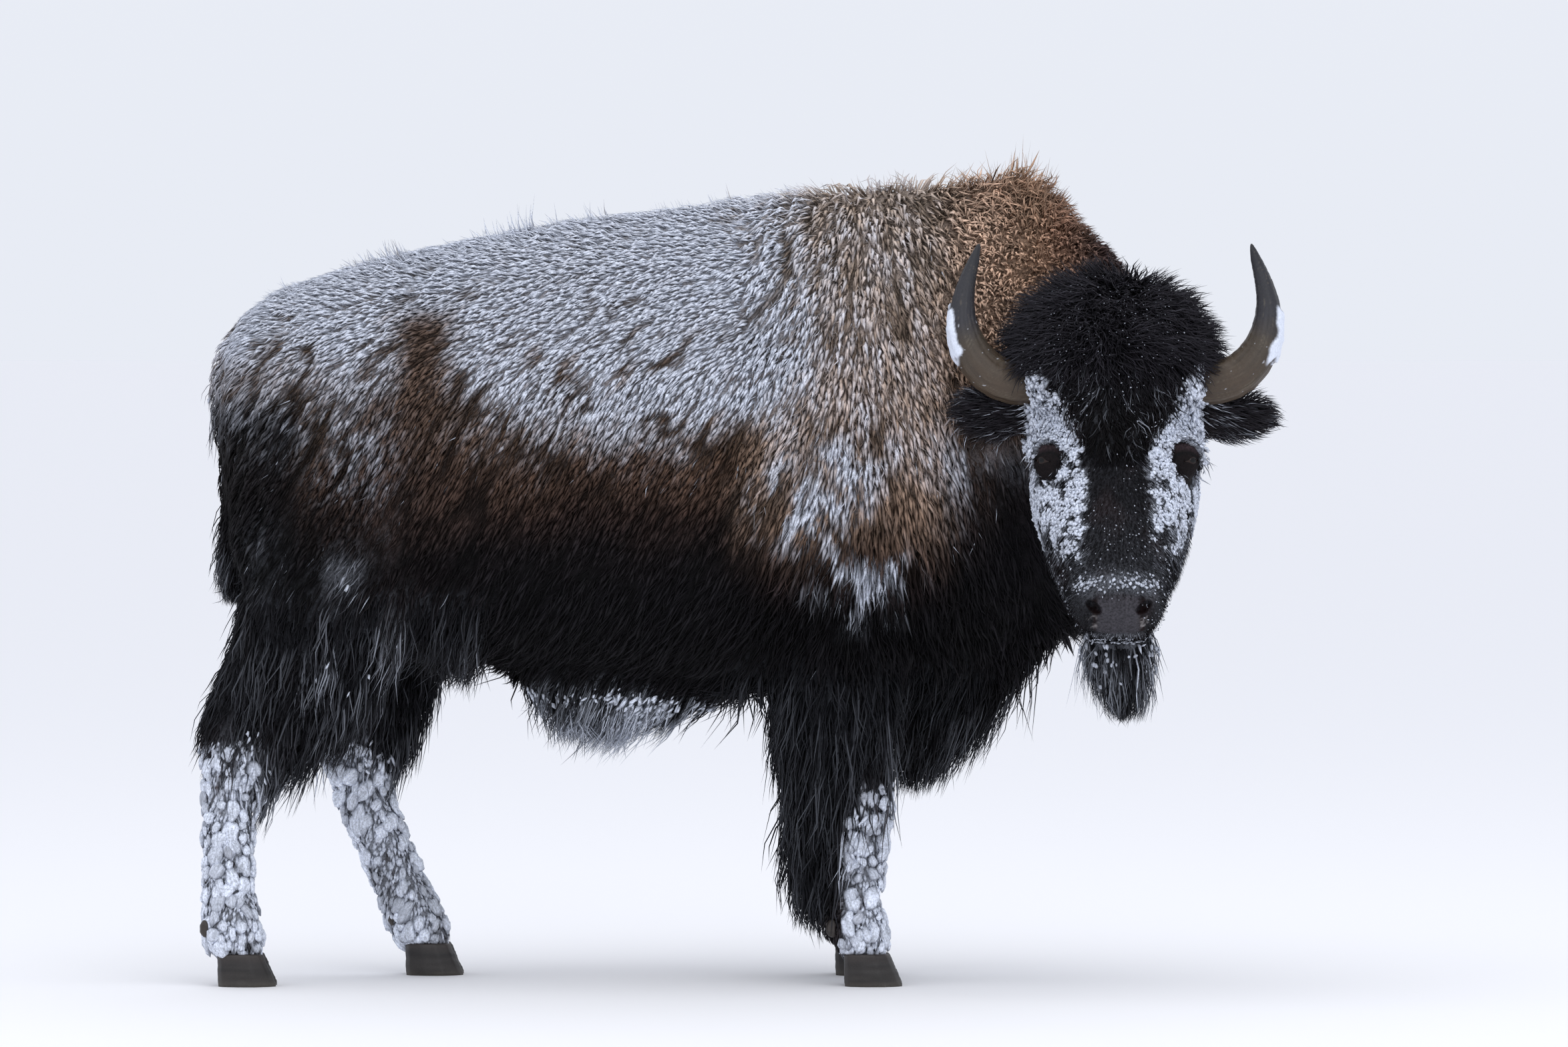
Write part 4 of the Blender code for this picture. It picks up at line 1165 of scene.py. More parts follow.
def standOff(roots, normals, limit=0.08):
    stand = castOut(outerTree, roots, normals, limit, 0.002)
    # beside the jaw the nearest solid is an ear or the mop, which the hair must not reach for
    side, down, out = inHead(roots)
    jaw = (down > 0.02) * ramp(0.26 - np.abs(side), 0, 0.04) * ramp(out, -0.22, -0.15)
    return np.where(jaw > 0, np.minimum(stand, 0.080 - 0.062 * jaw), stand)


# what each kind of coat is made of: where, how many locks, their size in metres, and how they stand
coats = {
    "rearClumps": dict(region="rear", slot="brown_coat", count=22000, segments=2,
                       length=0.040, width=0.0074, members=3),
    "rearFur": dict(region="rear", slot="brown_coat", count=28500, segments=1,
                    length=0.024, width=0.0032, members=8),
    "flankHair": dict(region="rear", slot="brown_coat", count=9000, segments=2,
                      length=0.042, width=0.0040, members=7),
    "capeClumps": dict(region="cape", slot="tan_coat", count=14000, segments=2,
                       length=0.046, width=0.0084, members=3),
    "capeWool": dict(region="cape", slot="tan_coat", count=15000, segments=2,
                     length=0.038, width=0.0042, members=6),
    "capeFuzz": dict(region="cape", slot="tan_coat", count=22000, segments=1,
                     length=0.024, width=0.0034, members=8),
    "faceHair": dict(region="face", slot="black_coat", count=21000, segments=1,
                     length=0.013, width=0.0028, members=7),
    "earHair": dict(region="ear", slot="black_coat", count=3200, segments=2,
                    length=0.036, width=0.0030, members=5),
    "mopHair": dict(region="mop", slot="black_coat", count=8700, segments=3,
                    length=0.070, width=0.0044, members=20),
    "beardHair": dict(region="beard", slot="black_coat", count=1400, segments=3,
                      length=0.10, width=0.0038, members=10),
    "fringeHair": dict(region="fringe", slot="black_coat", count=2800, segments=3, length=0.095, width=0.0044,
                       members=11),
    "foreHair": dict(region="foreHair", slot="black_coat", count=4200, segments=3, length=0.120, width=0.0052,
                     members=10),
    "hindHair": dict(region="hindHair", slot="black_coat", count=5500, segments=3, length=0.085, width=0.0052,
                     members=10),
    "shankFur": dict(region="shank", slot="black_coat", count=6500, segments=2,
                     length=0.026, width=0.0090, members=3),
    "tailHair": dict(region="tail", slot="black_coat", count=1000, segments=3,
                     length=0.075, width=0.0044, members=8),
}
lowest = {}
for regionName, (regionNodes, _) in regions.items():
    lowest[regionName] = min(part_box(node)[0][2] for node in regionNodes)


trunkRegions = ("rear", "cape")
longRegions = ("beard", "fringe", "foreHair", "hindHair", "tail")
frostLook = {
    # spread of the frost from clump to clump and from lock to lock, and the frost at which a lock begins
    # to whiten and is white; short hair holds dry specks, mostly white or mostly black
    "short": (0.30, 0.75, (0.38, 0.62)),
    "trunk": (0.08, 0.16, (0.02, 0.70)),
    "long": (0.30, 0.30, (0.02, 0.72)),
}


def coatDensity(name, region):
    density = share(skinWeights, region) ** 1.2
    if name == "faceHair":
        bare = np.min([eyeDistance(skinPlaces, s) for s in (-1, 1)], axis=0) < 0.97
        density = density * (1 - skinPad) * ~bare
    level, forward = skinPlaces[:, 2], skinPlaces[:, 0]
    # thin loose hair low on the body and under the neck, matted clumps above
    lowCape = np.maximum(ramp(0.95 - level, 0, 0.12), ramp(forward, 0.46, 0.54) * ramp(1.16 - level, 0, 0.10))
    if name == "flankHair":
        spine = ramp(skinNormals[:, 2], 0.84, 0.95) * ramp(-forward, 0.15, 0.3)
        density = density * (0.12 + 0.88 * ramp(1.18 - level, 0, 0.2) + 0.9 * spine)
    if name == "rearClumps":
        density = density * (0.15 + 0.85 * ramp(level, 0.86, 1.04))
    if name == "capeClumps":
        density = density * (1 - 0.85 * lowCape)
    if name == "capeWool":
        density = density * (1 + 1.2 * lowCape)
    if region == "cape":
        # more hair where the hump and shoulder turn to the front
        density = density * (1 + 0.8 * ramp(forward, 0.38, 0.50) * ramp(level, 1.1, 1.25))
    return density


def growCoat(name):
    coat = coats[name]
    region = coat["region"]
    matted = "Clumps" in name
    roots, normals, weights = scatter(coatDensity(name, region), coat["count"])
    n = len(roots)
    x, z = roots[:, 0], roots[:, 2]
    side, down, _ = inHead(roots)
    flows = flowAt(roots, normals, weights)
    sides = unit(np.cross(normals, flows))
    wander = 0.07 if matted else 0.20 if region in ("rear", "cape", "mop") else 0.10
    front = ramp(x, 0.36, 0.50) * ramp(z, 1.15, 1.3)  # the front of the hump and shoulder, where hair curls
    curly = front * (region == "cape")
    flows = unit(flows + sides * (chance.normal(0, 1, n) * (wander + 0.55 * curly))[:, None])
    # heart is 1 in the middle of a clump; mood is the clump's own chance, loose the lock's
    offset, edge, owner = clusters(roots, flows, sides, normals, coat)
    heart = ramp(edge, 0.02, 0.45)
    mood = chance.random(owner.max() + 1)[owner]
    loose = chance.random(n)
    stand = standOff(roots, normals)
    length = coat["length"] * (0.75 + 0.5 * chance.random(n)) * (0.85 + 0.3 * mood)
    width = coat["width"] * (0.75 + 0.5 * chance.random(n))
    rise = stand * (0.50 + 0.45 * heart) * (0.85 + 0.2 * loose)
    spec = dict(segments=coat["segments"], curl=0.06, turns=0.6, bow=2.0)
    gather = offset * 0.65
    if region == "rear":
        low = ramp(0.95 - z, 0, 0.25)
        length = length * (1 + 0.9 * low) * (1 - 0.15 * ramp(z, 1.1, 1.4))
        rise = np.minimum(stand, 0.032) * (0.62 + 0.30 * heart) * (0.88 + 0.2 * loose)
        spec.update(curl=0.06, bow=2.0, flat=0.75)
        gather = offset * 0.40
        # a ragged line of standing hair along the spine
        ridge = ramp(normals[:, 2], 0.80, 0.97) * ramp(grit(roots, 0.07, 51), -0.15, 0.5) * (loose > 0.45)
        if not matted:
            tall = 0.044 if name == "flankHair" else 0.022
            tall = tall * (1 + 0.7 * bell(x, -0.41, 0.08))
            spec["lift"] = (upward - 0.6 * flows) * (tall * ridge * (0.4 + 0.6 * chance.random(n)))[:, None]
    if region == "cape":
        crest = ramp(z, 1.52, 1.62) * ramp(x, 0.0, 0.3)
        low = ramp(1.0 - z, 0, 0.2)
        length = length * (1 + 0.30 * crest + 0.9 * low) * (1 - 0.42 * front * (1 - crest))
        width = width * (1 - 0.30 * front)
        rise = np.minimum(stand, 0.06) * (0.72 + 0.28 * heart) * (0.9 + 0.2 * loose) * (1 + 0.20 * crest)
        spec.update(curl=0.10 + 0.10 * front, turns=1.0, bow=1.8, flat=0.75)
        gather = offset * 0.60
        peak = bell(x, 0.595, 0.06) * ramp(normals[:, 2], 0.3, 0.8)
        tall = (0.018 * crest + 0.032 * peak) * ramp(loose, 0.3, 1.0)
        spec["lift"] = (upward - 0.7 * flows) * tall[:, None]
    if region in trunkRegions:
        spec["relief"] = 0.72
    if matted:
        tallest = 0.032 if region == "rear" else 0.06
        rise = np.minimum(stand, tallest) * (0.80 + 0.08 * heart) * (0.92 + 0.14 * loose)
        spec.update(flat=0.30, profile=[0.80, 1.0, 0.95, 0.70], bow=2.4, curl=0.05, tuck=0.08)
        gather = offset * 0.25
    if region == "face":
        small = ramp(down, 0.36, 0.50)
        jaw = ramp(down, 0.24, 0.32) * ramp(np.abs(side), 0.085, 0.125) * (1 - ramp(down, 0.46, 0.52))
        length = length * (1 - 0.45 * small) * (1 + 1.0 * jaw)
        width = width * (1 - 0.35 * small)
        rise = np.minimum(stand, 0.010) * (0.35 + 0.55 * heart) + 0.010 * jaw * loose
        spec.update(curl=0.0, bow=1.6)
    if region == "ear":
        rise = (np.minimum(stand, 0.02) + 0.004) * (0.7 + 0.8 * loose)
    if region == "mop":
        half = np.interp(down, *zip(*tongue))
        bareBrow = ramp(np.abs(side), half - 0.012, half + 0.012) * ramp(down, -0.03, 0.01)
        crown = ramp(-down, -0.06, 0.03)
        length = length * (0.62 + 0.30 * crown) * (0.85 + 0.35 * mood) * (1 - 0.80 * bareBrow)
        rise = np.minimum(stand, 0.040) * (0.35 + 0.60 * loose) * (0.80 + 0.15 * crown)
        rise = rise * (1 - 0.35 * ramp(side, 0.0, 0.10) * crown) * (1 - 0.85 * bareBrow)
        spec.update(curl=0.10, turns=0.9, bow=1.5)
        stray = crown * (1 - bareBrow) * ramp(loose, 0.2, 1.0)
        astray = upward * 0.7 + normals * 0.5 - flows * 0.9 + headSide * (side / 0.2)[:, None]
        spec["lift"] = astray * (0.019 * stray)[:, None]
        gather = offset * 1.2
    if region in longRegions:
        rise = np.minimum(stand, 0.045) * (0.35 + 0.6 * loose)
        spec.update(curl=0.075, turns=1.1, bow=2.4, flat=0.55, twist=1.2)
        gather = offset * 1.15
        # tufts end at different heights, which leaves a ragged lower edge
        length = length * (0.62 + 0.75 * mood)
        rise = rise + 0.012 * (loose > 0.93)
        length = np.minimum(length, np.maximum(z - lowest[region] + 0.006, 0.025))
        if region in ("fringe", "foreHair", "hindHair"):
            # on the underside the tufts hang free of the body
            hang = 0.045 * ramp(-normals[:, 2], -0.1, 0.6) * (0.25 + 0.75 * mood)
            spec["lift"] = -upward * np.minimum(hang, np.maximum(z - lowest[region] + 0.012, 0))[:, None]
    if region == "shank":
        # the last hair hangs over the top of the hoof
        brim = bell(z, 0.088, 0.016)
        length = length * (0.8 + 0.6 * ramp(z, 0.3, 0.6)) * (1 + 0.35 * brim)
        rise = np.minimum(stand, 0.010) * (0.55 + 0.35 * heart) + 0.004 * brim
        spec.update(curl=0.0, bow=1.8, flat=0.34, profile=[0.70, 1.0, 1.0, 0.80], tuck=0.35)
    # frost lies on whole clumps, most on their middles and little in the gaps
    kind = "trunk" if region in (*trunkRegions, "shank") else "long"
    if region in ("face", "mop", "ear"):
        kind = "short"
    byClump, byLock, frostStep = frostLook[kind]
    chanced = chance.random(n) if kind == "short" else loose
    jitter = byClump * (mood - 0.5) + byLock * (chanced - 0.5)
    if name == "flankHair":
        jitter = jitter - 0.45 * ridge
    # tone varies at random by clump and lock; locks near a clump's edge are darker, painted shade in the gaps
    # between clumps
    toneAndGapShade = (0.85 + 0.30 * mood) * (0.85 + 0.30 * chance.random(n)) * (0.72 + 0.28 * ramp(edge, 0.0, 0.30))
    spec.update(length=length, width=width, rise=rise, gather=gather)
    # a few locks are white with frost wherever they stand
    white = (loose > 0.985) * (region in (*trunkRegions, "face") and not matted)
    look = dict(toneAndGapShade=toneAndGapShade, frozen=region not in (*trunkRegions, "face", "shank"), jitter=jitter,
                frostStep=frostStep, sideShade=0.08 if matted else 0.0,
                heart=0.82 + 0.18 * ramp(edge, 0.02, 0.22), speck=white)
    made = growLocks(name, roots, normals, weights, flows, spec, look)
    stage("%s: %d locks over %.2f square metres" % (name, n, areaOf(share(skinWeights, region))))
    return made


coatPieces = []
for coatName in coats:
    coatPieces += growCoat(coatName)


# frozen clots: small rounded lumps of frost that sit on the ends of the hair

clots = {
    # cell: the least spacing; size: along the hair, across it and thick; reach: the farthest from the skin, of
    # which height is used; strength: how white they are; even: as likely on dark hair as on frosted hair
    "faceFrost": dict(slot="black_coat", regions=("face", "mop"), cell=0.0042, size=(0.0040, 0.0032, 0.0023),
                      count=40000, reach=0.014, height=0.80, strength=1.25, sides=6, pitch=0.40),
    "shankFrost": dict(slot="black_coat", regions=("shank",), cell=0.022, size=(0.0150, 0.0105, 0.0060),
                       count=6000, reach=0.05, height=0.58, strength=1.15, sides=9, pitch=0.08),
    "beardFrost": dict(slot="black_coat", regions=("beard",), cell=0.018, size=(0.0088, 0.0066, 0.0060),
                       count=2500, reach=0.05, height=0.95, strength=1.1, sides=9, pitch=0.10),
    "speckFrost": dict(slot="black_coat", regions=("mop", "face"), cell=0.004, size=(0.0014, 0.0011, 0.0010),
                       count=2200, reach=0.03, height=0.92, strength=0.85, sides=6, pitch=0.40, even=True),
    "hairFrost": dict(slot="black_coat", regions=("foreHair", "hindHair", "beard", "fringe", "tail"),
                      cell=0.014, size=(0.0100, 0.0036, 0.0032),
                      count=9000, reach=0.05, height=0.9, strength=1.4, sides=6, pitch=0.40),
}


def growClots(name):
    clot = clots[name]
    density = sum(share(skinWeights, region) for region in clot["regions"])
    _, frost = describe(skinPlaces, skinWeights)
    bare = np.ones(len(skinPlaces))
    if "face" in clot["regions"]:
        bare = (1 - skinPad) * (np.min([eyeDistance(skinPlaces, s) for s in (-1, 1)], axis=0) > 1.0)
    density = density * bare * (1 if clot.get("even") else ramp(frost, 0.10, 0.80))
    roots, normals, weights = scatter(density, clot["count"])
    keys = np.floor(roots / clot["cell"] + chance.random(3)).astype(np.int64)
    _, first = np.unique(keys @ np.array([1, 5003, 25000009]), return_index=True)
    roots, normals, weights = roots[first], normals[first], weights[first]
    base, frost = describe(roots, weights)
    knot = 0.5 + 0.5 * grit(roots, clot["cell"] * 2.4, 61)
    keep = chance.random(len(roots)) < (0.10 + 1.0 * frost) * (0.45 + 0.9 * knot)
    if name == "beardFrost":
        # a row of lumps across the middle of the beard
        inRow = (np.abs(roots[:, 2] - 0.66) < 0.055) & (roots[:, 1] < headTop[1] - 0.05)
        keep = (chance.random(len(roots)) < 0.65) & inRow
    if clot.get("even"):
        bunched = grit(roots, 0.045, 62) > 0.05 + 0.5 * chance.random(len(roots)) - 0.25
        keep = (roots[:, 1] < headTop[1] + 0.12) & bunched
        frost = np.maximum(frost, 0.6)
    roots, normals, weights = roots[keep], normals[keep], weights[keep]
    base, frost, knot = base[keep], frost[keep], knot[keep]
    n = len(roots)
    flows = flowAt(roots, normals, weights)
    sides = unit(np.cross(normals, flows))
    yaw = chance.normal(0, 0.35, n)[:, None]
    flows, sides = flows * np.cos(yaw) + sides * np.sin(yaw), sides * np.cos(yaw) - flows * np.sin(yaw)
    # the lower end stands out like a shingle
    pitch = clot["pitch"] * (0.5 + 0.5 * chance.random(n)[:, None])
    over = normals * np.cos(pitch) - flows * np.sin(pitch)
    flows = flows * np.cos(pitch) + normals * np.sin(pitch)
    # a low lump; the large ones have a second ring that rounds their top
    turns = clot["sides"]
    bearings = 2 * math.pi * np.arange(turns) / turns
    ring = np.stack([np.cos(bearings), np.sin(bearings), 0.25 * (np.arange(turns) % 2) - 0.12], 1)
    pairs = [(k, (k + 1) % turns) for k in range(turns)]
    poles = [[0, 0, 0.95], [0, 0, -0.95]]
    if turns > 6:
        seedPlaces = np.concatenate([ring * [1, 1, 0.4], ring * [0.66, 0.66, 0] + [0, 0, 0.66], poles])
        faces = [[a, b, turns + b] for a, b in pairs] + [[a, turns + b, turns + a] for a, b in pairs]
        faces += [[turns + a, turns + b, 2 * turns] for a, b in pairs]
        faces += [[b, a, 2 * turns + 1] for a, b in pairs]
    else:
        seedPlaces = np.concatenate([ring, poles])
        faces = [[a, b, turns] for a, b in pairs] + [[b, a, turns + 1] for a, b in pairs]
    each = len(seedPlaces)
    scale = (0.55 + 0.75 * chance.random(n) ** 1.6 + 0.45 * knot)[:, None] * np.array(clot["size"])
    scale = scale * (0.75 + 0.5 * chance.random((n, 3))) * (0.55 + 0.45 * ramp(frost, 0.1, 0.6))[:, None]
    stand = np.minimum(standOff(roots, normals), clot["reach"])
    middle = roots + normals * (stand * clot["height"] * (0.82 + 0.25 * chance.random(n)))[:, None]
    if name == "faceFrost":
        # a crust hangs out over the orbits, below the horns
        side, down, _ = inHead(roots)
        shelf = ramp(np.abs(side), 0.105, 0.140) * bell(down, 0.070, 0.055)
        scale = scale * (1 + 0.7 * shelf)[:, None]
        middle = middle + normals * (0.022 * shelf * chance.random(n) ** 1.4)[:, None]
    middle = middle + flows * scale[:, :1] * 0.6
    rough = 1.0 if turns == 6 else 0.45
    shape = seedPlaces[None] * (1 - 0.25 * rough + 0.50 * rough * chance.random((n, each, 1)))
    shape = shape + chance.normal(0, 0.16 * rough, (n, each, 3))
    verts = (middle[:, None] + flows[:, None] * shape[..., :1] * scale[:, None, :1]
             + sides[:, None] * shape[..., 1:2] * scale[:, None, 1:2]
             + over[:, None] * shape[..., 2:3] * scale[:, None, 2:3])
    # the underside of each clot is less white and darkened towards the hair colour: painted shade under the
    # clot
    facing = seedPlaces[:, 2][None] + 0.35 * chance.normal(0, 1, (n, each))
    amount = np.clip(clot["strength"] * (0.30 + 0.45 * frost + 0.45 * chance.random(n) * knot), 0, 1)
    white = ramp(facing, -1.2, 0.2) * amount[:, None]
    bright = 0.98 + 0.14 * chance.random((n, 1, 1))
    colours = mixColours(base[:, None] * 0.9 * np.ones((1, each, 1)), frostColour * bright, white)
    colours = np.concatenate([colours, white[..., None]], axis=2)
    flat = np.broadcast_to(seedPlaces[None, :, 1::-1] * 0.5, (n, each, 2))
    made = joinTufts(name, roots, verts, colours, np.array(faces), flat, flat, step=0.37)
    stage("%s: %d clots" % (name, n))
    return made


frostPieces = []
for clotName in clots:
    frostPieces += growClots(clotName)


# horns: remeshed from the CAD, with lengthwise grain and a crust of snow on the outer side

hornShape = {
    "route": [(0.150, 0.000, 0.000), (0.205, 0.000, 0.004), (0.256, 0.022, 0.008), (0.294, 0.072, 0.010),
              (0.308, 0.135, 0.006), (0.300, 0.195, -0.004), (0.283, 0.248, -0.014), (0.273, 0.280, -0.020)],
    "grain": 0.0007, "snow": 0.007,
}


def buildHorn(side):
    horn = copyNodes(["horn_left" if side > 0 else "horn_right"], "hornLeft" if side > 0 else "hornRight")
    applyModifier(horn, "REMESH", mode="VOXEL", voxel_size=0.0030)
    applyModifier(horn, "SMOOTH", factor=0.5, iterations=14)
    root = fromHead(0, 0, -0.035)
    line = np.array([root + np.array([side * out, -ahead, up]) for out, up, ahead in hornShape["route"]])
    fine = np.stack([np.interp(np.linspace(0, 7, 141), np.arange(8), line[:, k]) for k in range(3)], 1)
    for _ in range(60):
        fine[1:-1] = (fine[:-2] + fine[2:]) / 2 * 0.5 + fine[1:-1] * 0.5
    steps = np.concatenate([[0], np.cumsum(np.linalg.norm(np.diff(fine, axis=0), axis=1))])
    mesh = horn.data
    places = readVerts(mesh)
    near = np.linalg.norm(places[:, None] - fine[None], axis=2).argmin(1)
    way = unit(np.gradient(fine, axis=0))[near]
    arm = unit(places - fine[near] - way * ((places - fine[near]) * way).sum(1)[:, None])
    forward = unit(np.cross(way, np.array([0, 1.0, 0])))
    aside = np.cross(way, forward)
    turn = np.arctan2((arm * aside).sum(1), (arm * forward).sum(1))
    along = (steps[near] + ((places - fine[near]) * way).sum(1)) / steps[-1]
    ringed = np.stack([np.cos(turn) * 2.2, np.sin(turn) * 2.2, along * 0.9], 1)
    grain = waver(ringed, 0.16, 21) + 0.6 * waver(ringed, 0.07, 22)
    rings = waver(np.stack([along * 0, along * 0, along + 0.02 * waver(ringed, 0.5, 24)], 1), 0.018, 23)
    lift = hornShape["grain"] * (grain + 0.8 * rings * ramp(0.7 - along, 0, 0.4)) * ramp(0.97 - along, 0, 0.2)
    # snow driven against the outer side
    outward = arm[:, 0] * side
    patch = bell(along, 0.53, 0.14) * ramp(outward + 0.25 * waver(places, 0.03, 25), 0.35, 0.75)
    snow = ramp(patch + 0.18 * waver(places, 0.012, 26), 0.42, 0.55)
    lift = lift + hornShape["snow"] * snow * (0.7 + 0.3 * waver(places, 0.010, 27))
    writeVerts(mesh, places + arm * lift[:, None])
    hornColour = stops(along + 0.04 * waver(places, 0.04, 28),
                       [(0.0, "#42362a"), (0.25, "#4a3d30"), (0.48, "#433a30"), (0.58, "#2f2e33"),
                        (0.8, "#29292e"), (1.0, "#1e1e23")])
    streak = ramp(waver(ringed, 0.12, 29), -0.2, 0.9)
    hornColour = mixColours(hornColour, hornColour * 0.55, 0.6 * streak)
    hornColour = mixColours(hornColour, linear("#766d5c"), 0.35 * ramp(waver(ringed, 0.09, 30), 0.3, 0.9))
    fleck = (waver(places, 0.006, 31) > 0.80) * (along < 0.6)
    hornColour = mixColours(hornColour, linear("#c9ccd4"), 0.6 * fleck)
    paintVerts(horn, "coat", np.column_stack([mixColours(hornColour, frostColour, snow), snow]))
    valueVerts(horn, "snow", snow)
    horn.data.shade_smooth()
    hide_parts("horn_left" if side > 0 else "horn_right")
    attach(horn, "root")
    return horn


horns = [buildHorn(side) for side in (-1, 1)]


# hooves and dew claws

def buildClaws(prefix, name, voxel, turns):
    names = [node for node in nodes if node.startswith(prefix)]
    claws = copyNodes(names, name)
    applyModifier(claws, "REMESH", mode="VOXEL", voxel_size=voxel)
    applyModifier(claws, "SMOOTH", factor=0.5, iterations=turns)
    mesh = claws.data
    places = readVerts(mesh)
    normals = readVerts(mesh, True)
    flat = np.minimum(ramp(np.abs(normals[:, 2]), 0.5, 0.9), 1)
    growth = waver(places * np.array([0.12, 0.12, 1.0]), 0.0075, 33)
    places = places + normals * (0.0011 * growth * (1 - flat) * ramp(places[:, 2], 0.003, 0.012))[:, None]
    if prefix == "hoof":
        places[:, 2] = np.where(places[:, 2] < 0.004, 0.0, places[:, 2])
    places[:, 2] = np.maximum(places[:, 2], 0.0)
    writeVerts(mesh, places)
    colour = stops(places[:, 2] + 0.004 * waver(places, 0.02, 34),
                   [(0.0, "#4a463f"), (0.012, "#35312e"), (0.045, "#2a2726"), (0.066, "#3a3431")])
    colour = mixColours(colour, colour * 0.6, ramp(growth, -0.1, 0.7))
    paintVerts(claws, "coat", colour)
    valueVerts(claws, "snow", np.zeros(len(places)))
    claws.data.shade_smooth()
    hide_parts(*names)
    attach(claws, "root")
    return claws


claws = [buildClaws("hoof", "hooves", 0.0034, 4), buildClaws("dewclaw", "dewClaws", 0.0028, 4)]
stage("horns and hooves")


# materials

def addNode(tree, kind, links=None, **settings):
    node = tree.nodes.new(kind)
    for key, value in settings.items():
        if key in node.inputs:
            node.inputs[key].default_value = value
        else:
            setattr(node, key, value)
    for socket, source in (links or {}).items():
        tree.links.new(source, node.inputs[socket])
    return node


def newMaterial(name, **settings):
    material = bpy.data.materials.new(name)
    material.use_nodes = True
    shader = material.node_tree.nodes["Principled BSDF"]
    for key, value in settings.items():
        shader.inputs[key].default_value = value
    return material, material.node_tree, shader


def frostedHair():
    # guard hair and wool: matt, streaked along each lock, with a soft pale edge where light grazes it
    material, tree, shader = newMaterial("frostedWool", **{"Roughness": 0.66, "Specular IOR Level": 0.16})
    coat = addNode(tree, "ShaderNodeAttribute", attribute_name="coat")
    strand = addNode(tree, "ShaderNodeUVMap", uv_map="strand")
    scale = addNode(tree, "ShaderNodeMapping", {"Vector": strand.outputs["UV"]}, Scale=(5.0, 0.9, 1.0))
    streak = addNode(tree, "ShaderNodeTexNoise", {"Vector": scale.outputs["Vector"]}, Scale=1.6, Detail=3.0,
                     Roughness=0.6)
    shade = addNode(tree, "ShaderNodeMapRange", {"Value": streak.outputs["Fac"]},
                    **{"From Min": 0.3, "From Max": 0.7, "To Min": 0.62, "To Max": 1.30})
    # grains of frost about 4 mm across, only where the lock is white
    place = addNode(tree, "ShaderNodeTexCoord")
    grains = addNode(tree, "ShaderNodeTexNoise", {"Vector": place.outputs["Object"]}, Scale=210.0, Detail=3.0,
                     Roughness=0.7)
    speck = addNode(tree, "ShaderNodeMapRange", {"Value": grains.outputs["Fac"]},
                    **{"From Min": 0.36, "From Max": 0.60, "To Min": 0.66, "To Max": 1.18})
    frosted = addNode(tree, "ShaderNodeMix", {0: coat.outputs["Alpha"], 3: speck.outputs["Result"]})
    frosted.inputs[2].default_value = 1.0
    both = addNode(tree, "ShaderNodeMath", {0: shade.outputs["Result"], 1: frosted.outputs[0]},
                   operation="MULTIPLY")
    tinted = addNode(tree, "ShaderNodeVectorMath", {0: coat.outputs["Color"], "Scale": both.outputs["Value"]},
                     operation="SCALE")
    tree.links.new(tinted.outputs["Vector"], shader.inputs["Base Color"])
    relief = addNode(tree, "ShaderNodeBump", {"Height": streak.outputs["Fac"]}, Strength=0.35, Distance=0.0008)
    crust = addNode(tree, "ShaderNodeBump", Strength=0.45, Distance=0.0015,
                    links={"Height": grains.outputs["Fac"], "Normal": relief.outputs["Normal"]})
    tree.links.new(crust.outputs["Normal"], shader.inputs["Normal"])
    return material


def hideMaterial():
    # hide under the coat: matt and dark; where it is bare, a damp leathery nose and lids
    material, tree, shader = newMaterial("bisonHide", **{"Specular IOR Level": 0.16})
    coat = addNode(tree, "ShaderNodeAttribute", attribute_name="coat")
    bare = addNode(tree, "ShaderNodeAttribute", attribute_name="bare")
    place = addNode(tree, "ShaderNodeTexCoord")
    pores = addNode(tree, "ShaderNodeTexVoronoi", {"Vector": place.outputs["Object"]}, Scale=320.0)
    fuzz = addNode(tree, "ShaderNodeTexNoise", {"Vector": place.outputs["Object"]}, Scale=220.0, Detail=4.0)
    shade = addNode(tree, "ShaderNodeMapRange", {"Value": fuzz.outputs["Fac"]},
                    **{"From Min": 0.3, "From Max": 0.7, "To Min": 0.45, "To Max": 1.45})
    tinted = addNode(tree, "ShaderNodeVectorMath", {0: coat.outputs["Color"], "Scale": shade.outputs["Result"]},
                     operation="SCALE")
    tree.links.new(tinted.outputs["Vector"], shader.inputs["Base Color"])
    gloss = addNode(tree, "ShaderNodeMapRange", {"Value": bare.outputs["Fac"]},
                    **{"To Min": 0.85, "To Max": 0.46})
    tree.links.new(gloss.outputs["Result"], shader.inputs["Roughness"])
    relief = addNode(tree, "ShaderNodeBump", {"Height": pores.outputs["Distance"]}, Strength=0.4,
                     Distance=0.001)
    rough = addNode(tree, "ShaderNodeBump", Strength=0.7, Distance=0.004,
                    links={"Height": fuzz.outputs["Fac"], "Normal": relief.outputs["Normal"]})
    tree.links.new(rough.outputs["Normal"], shader.inputs["Normal"])
    return material


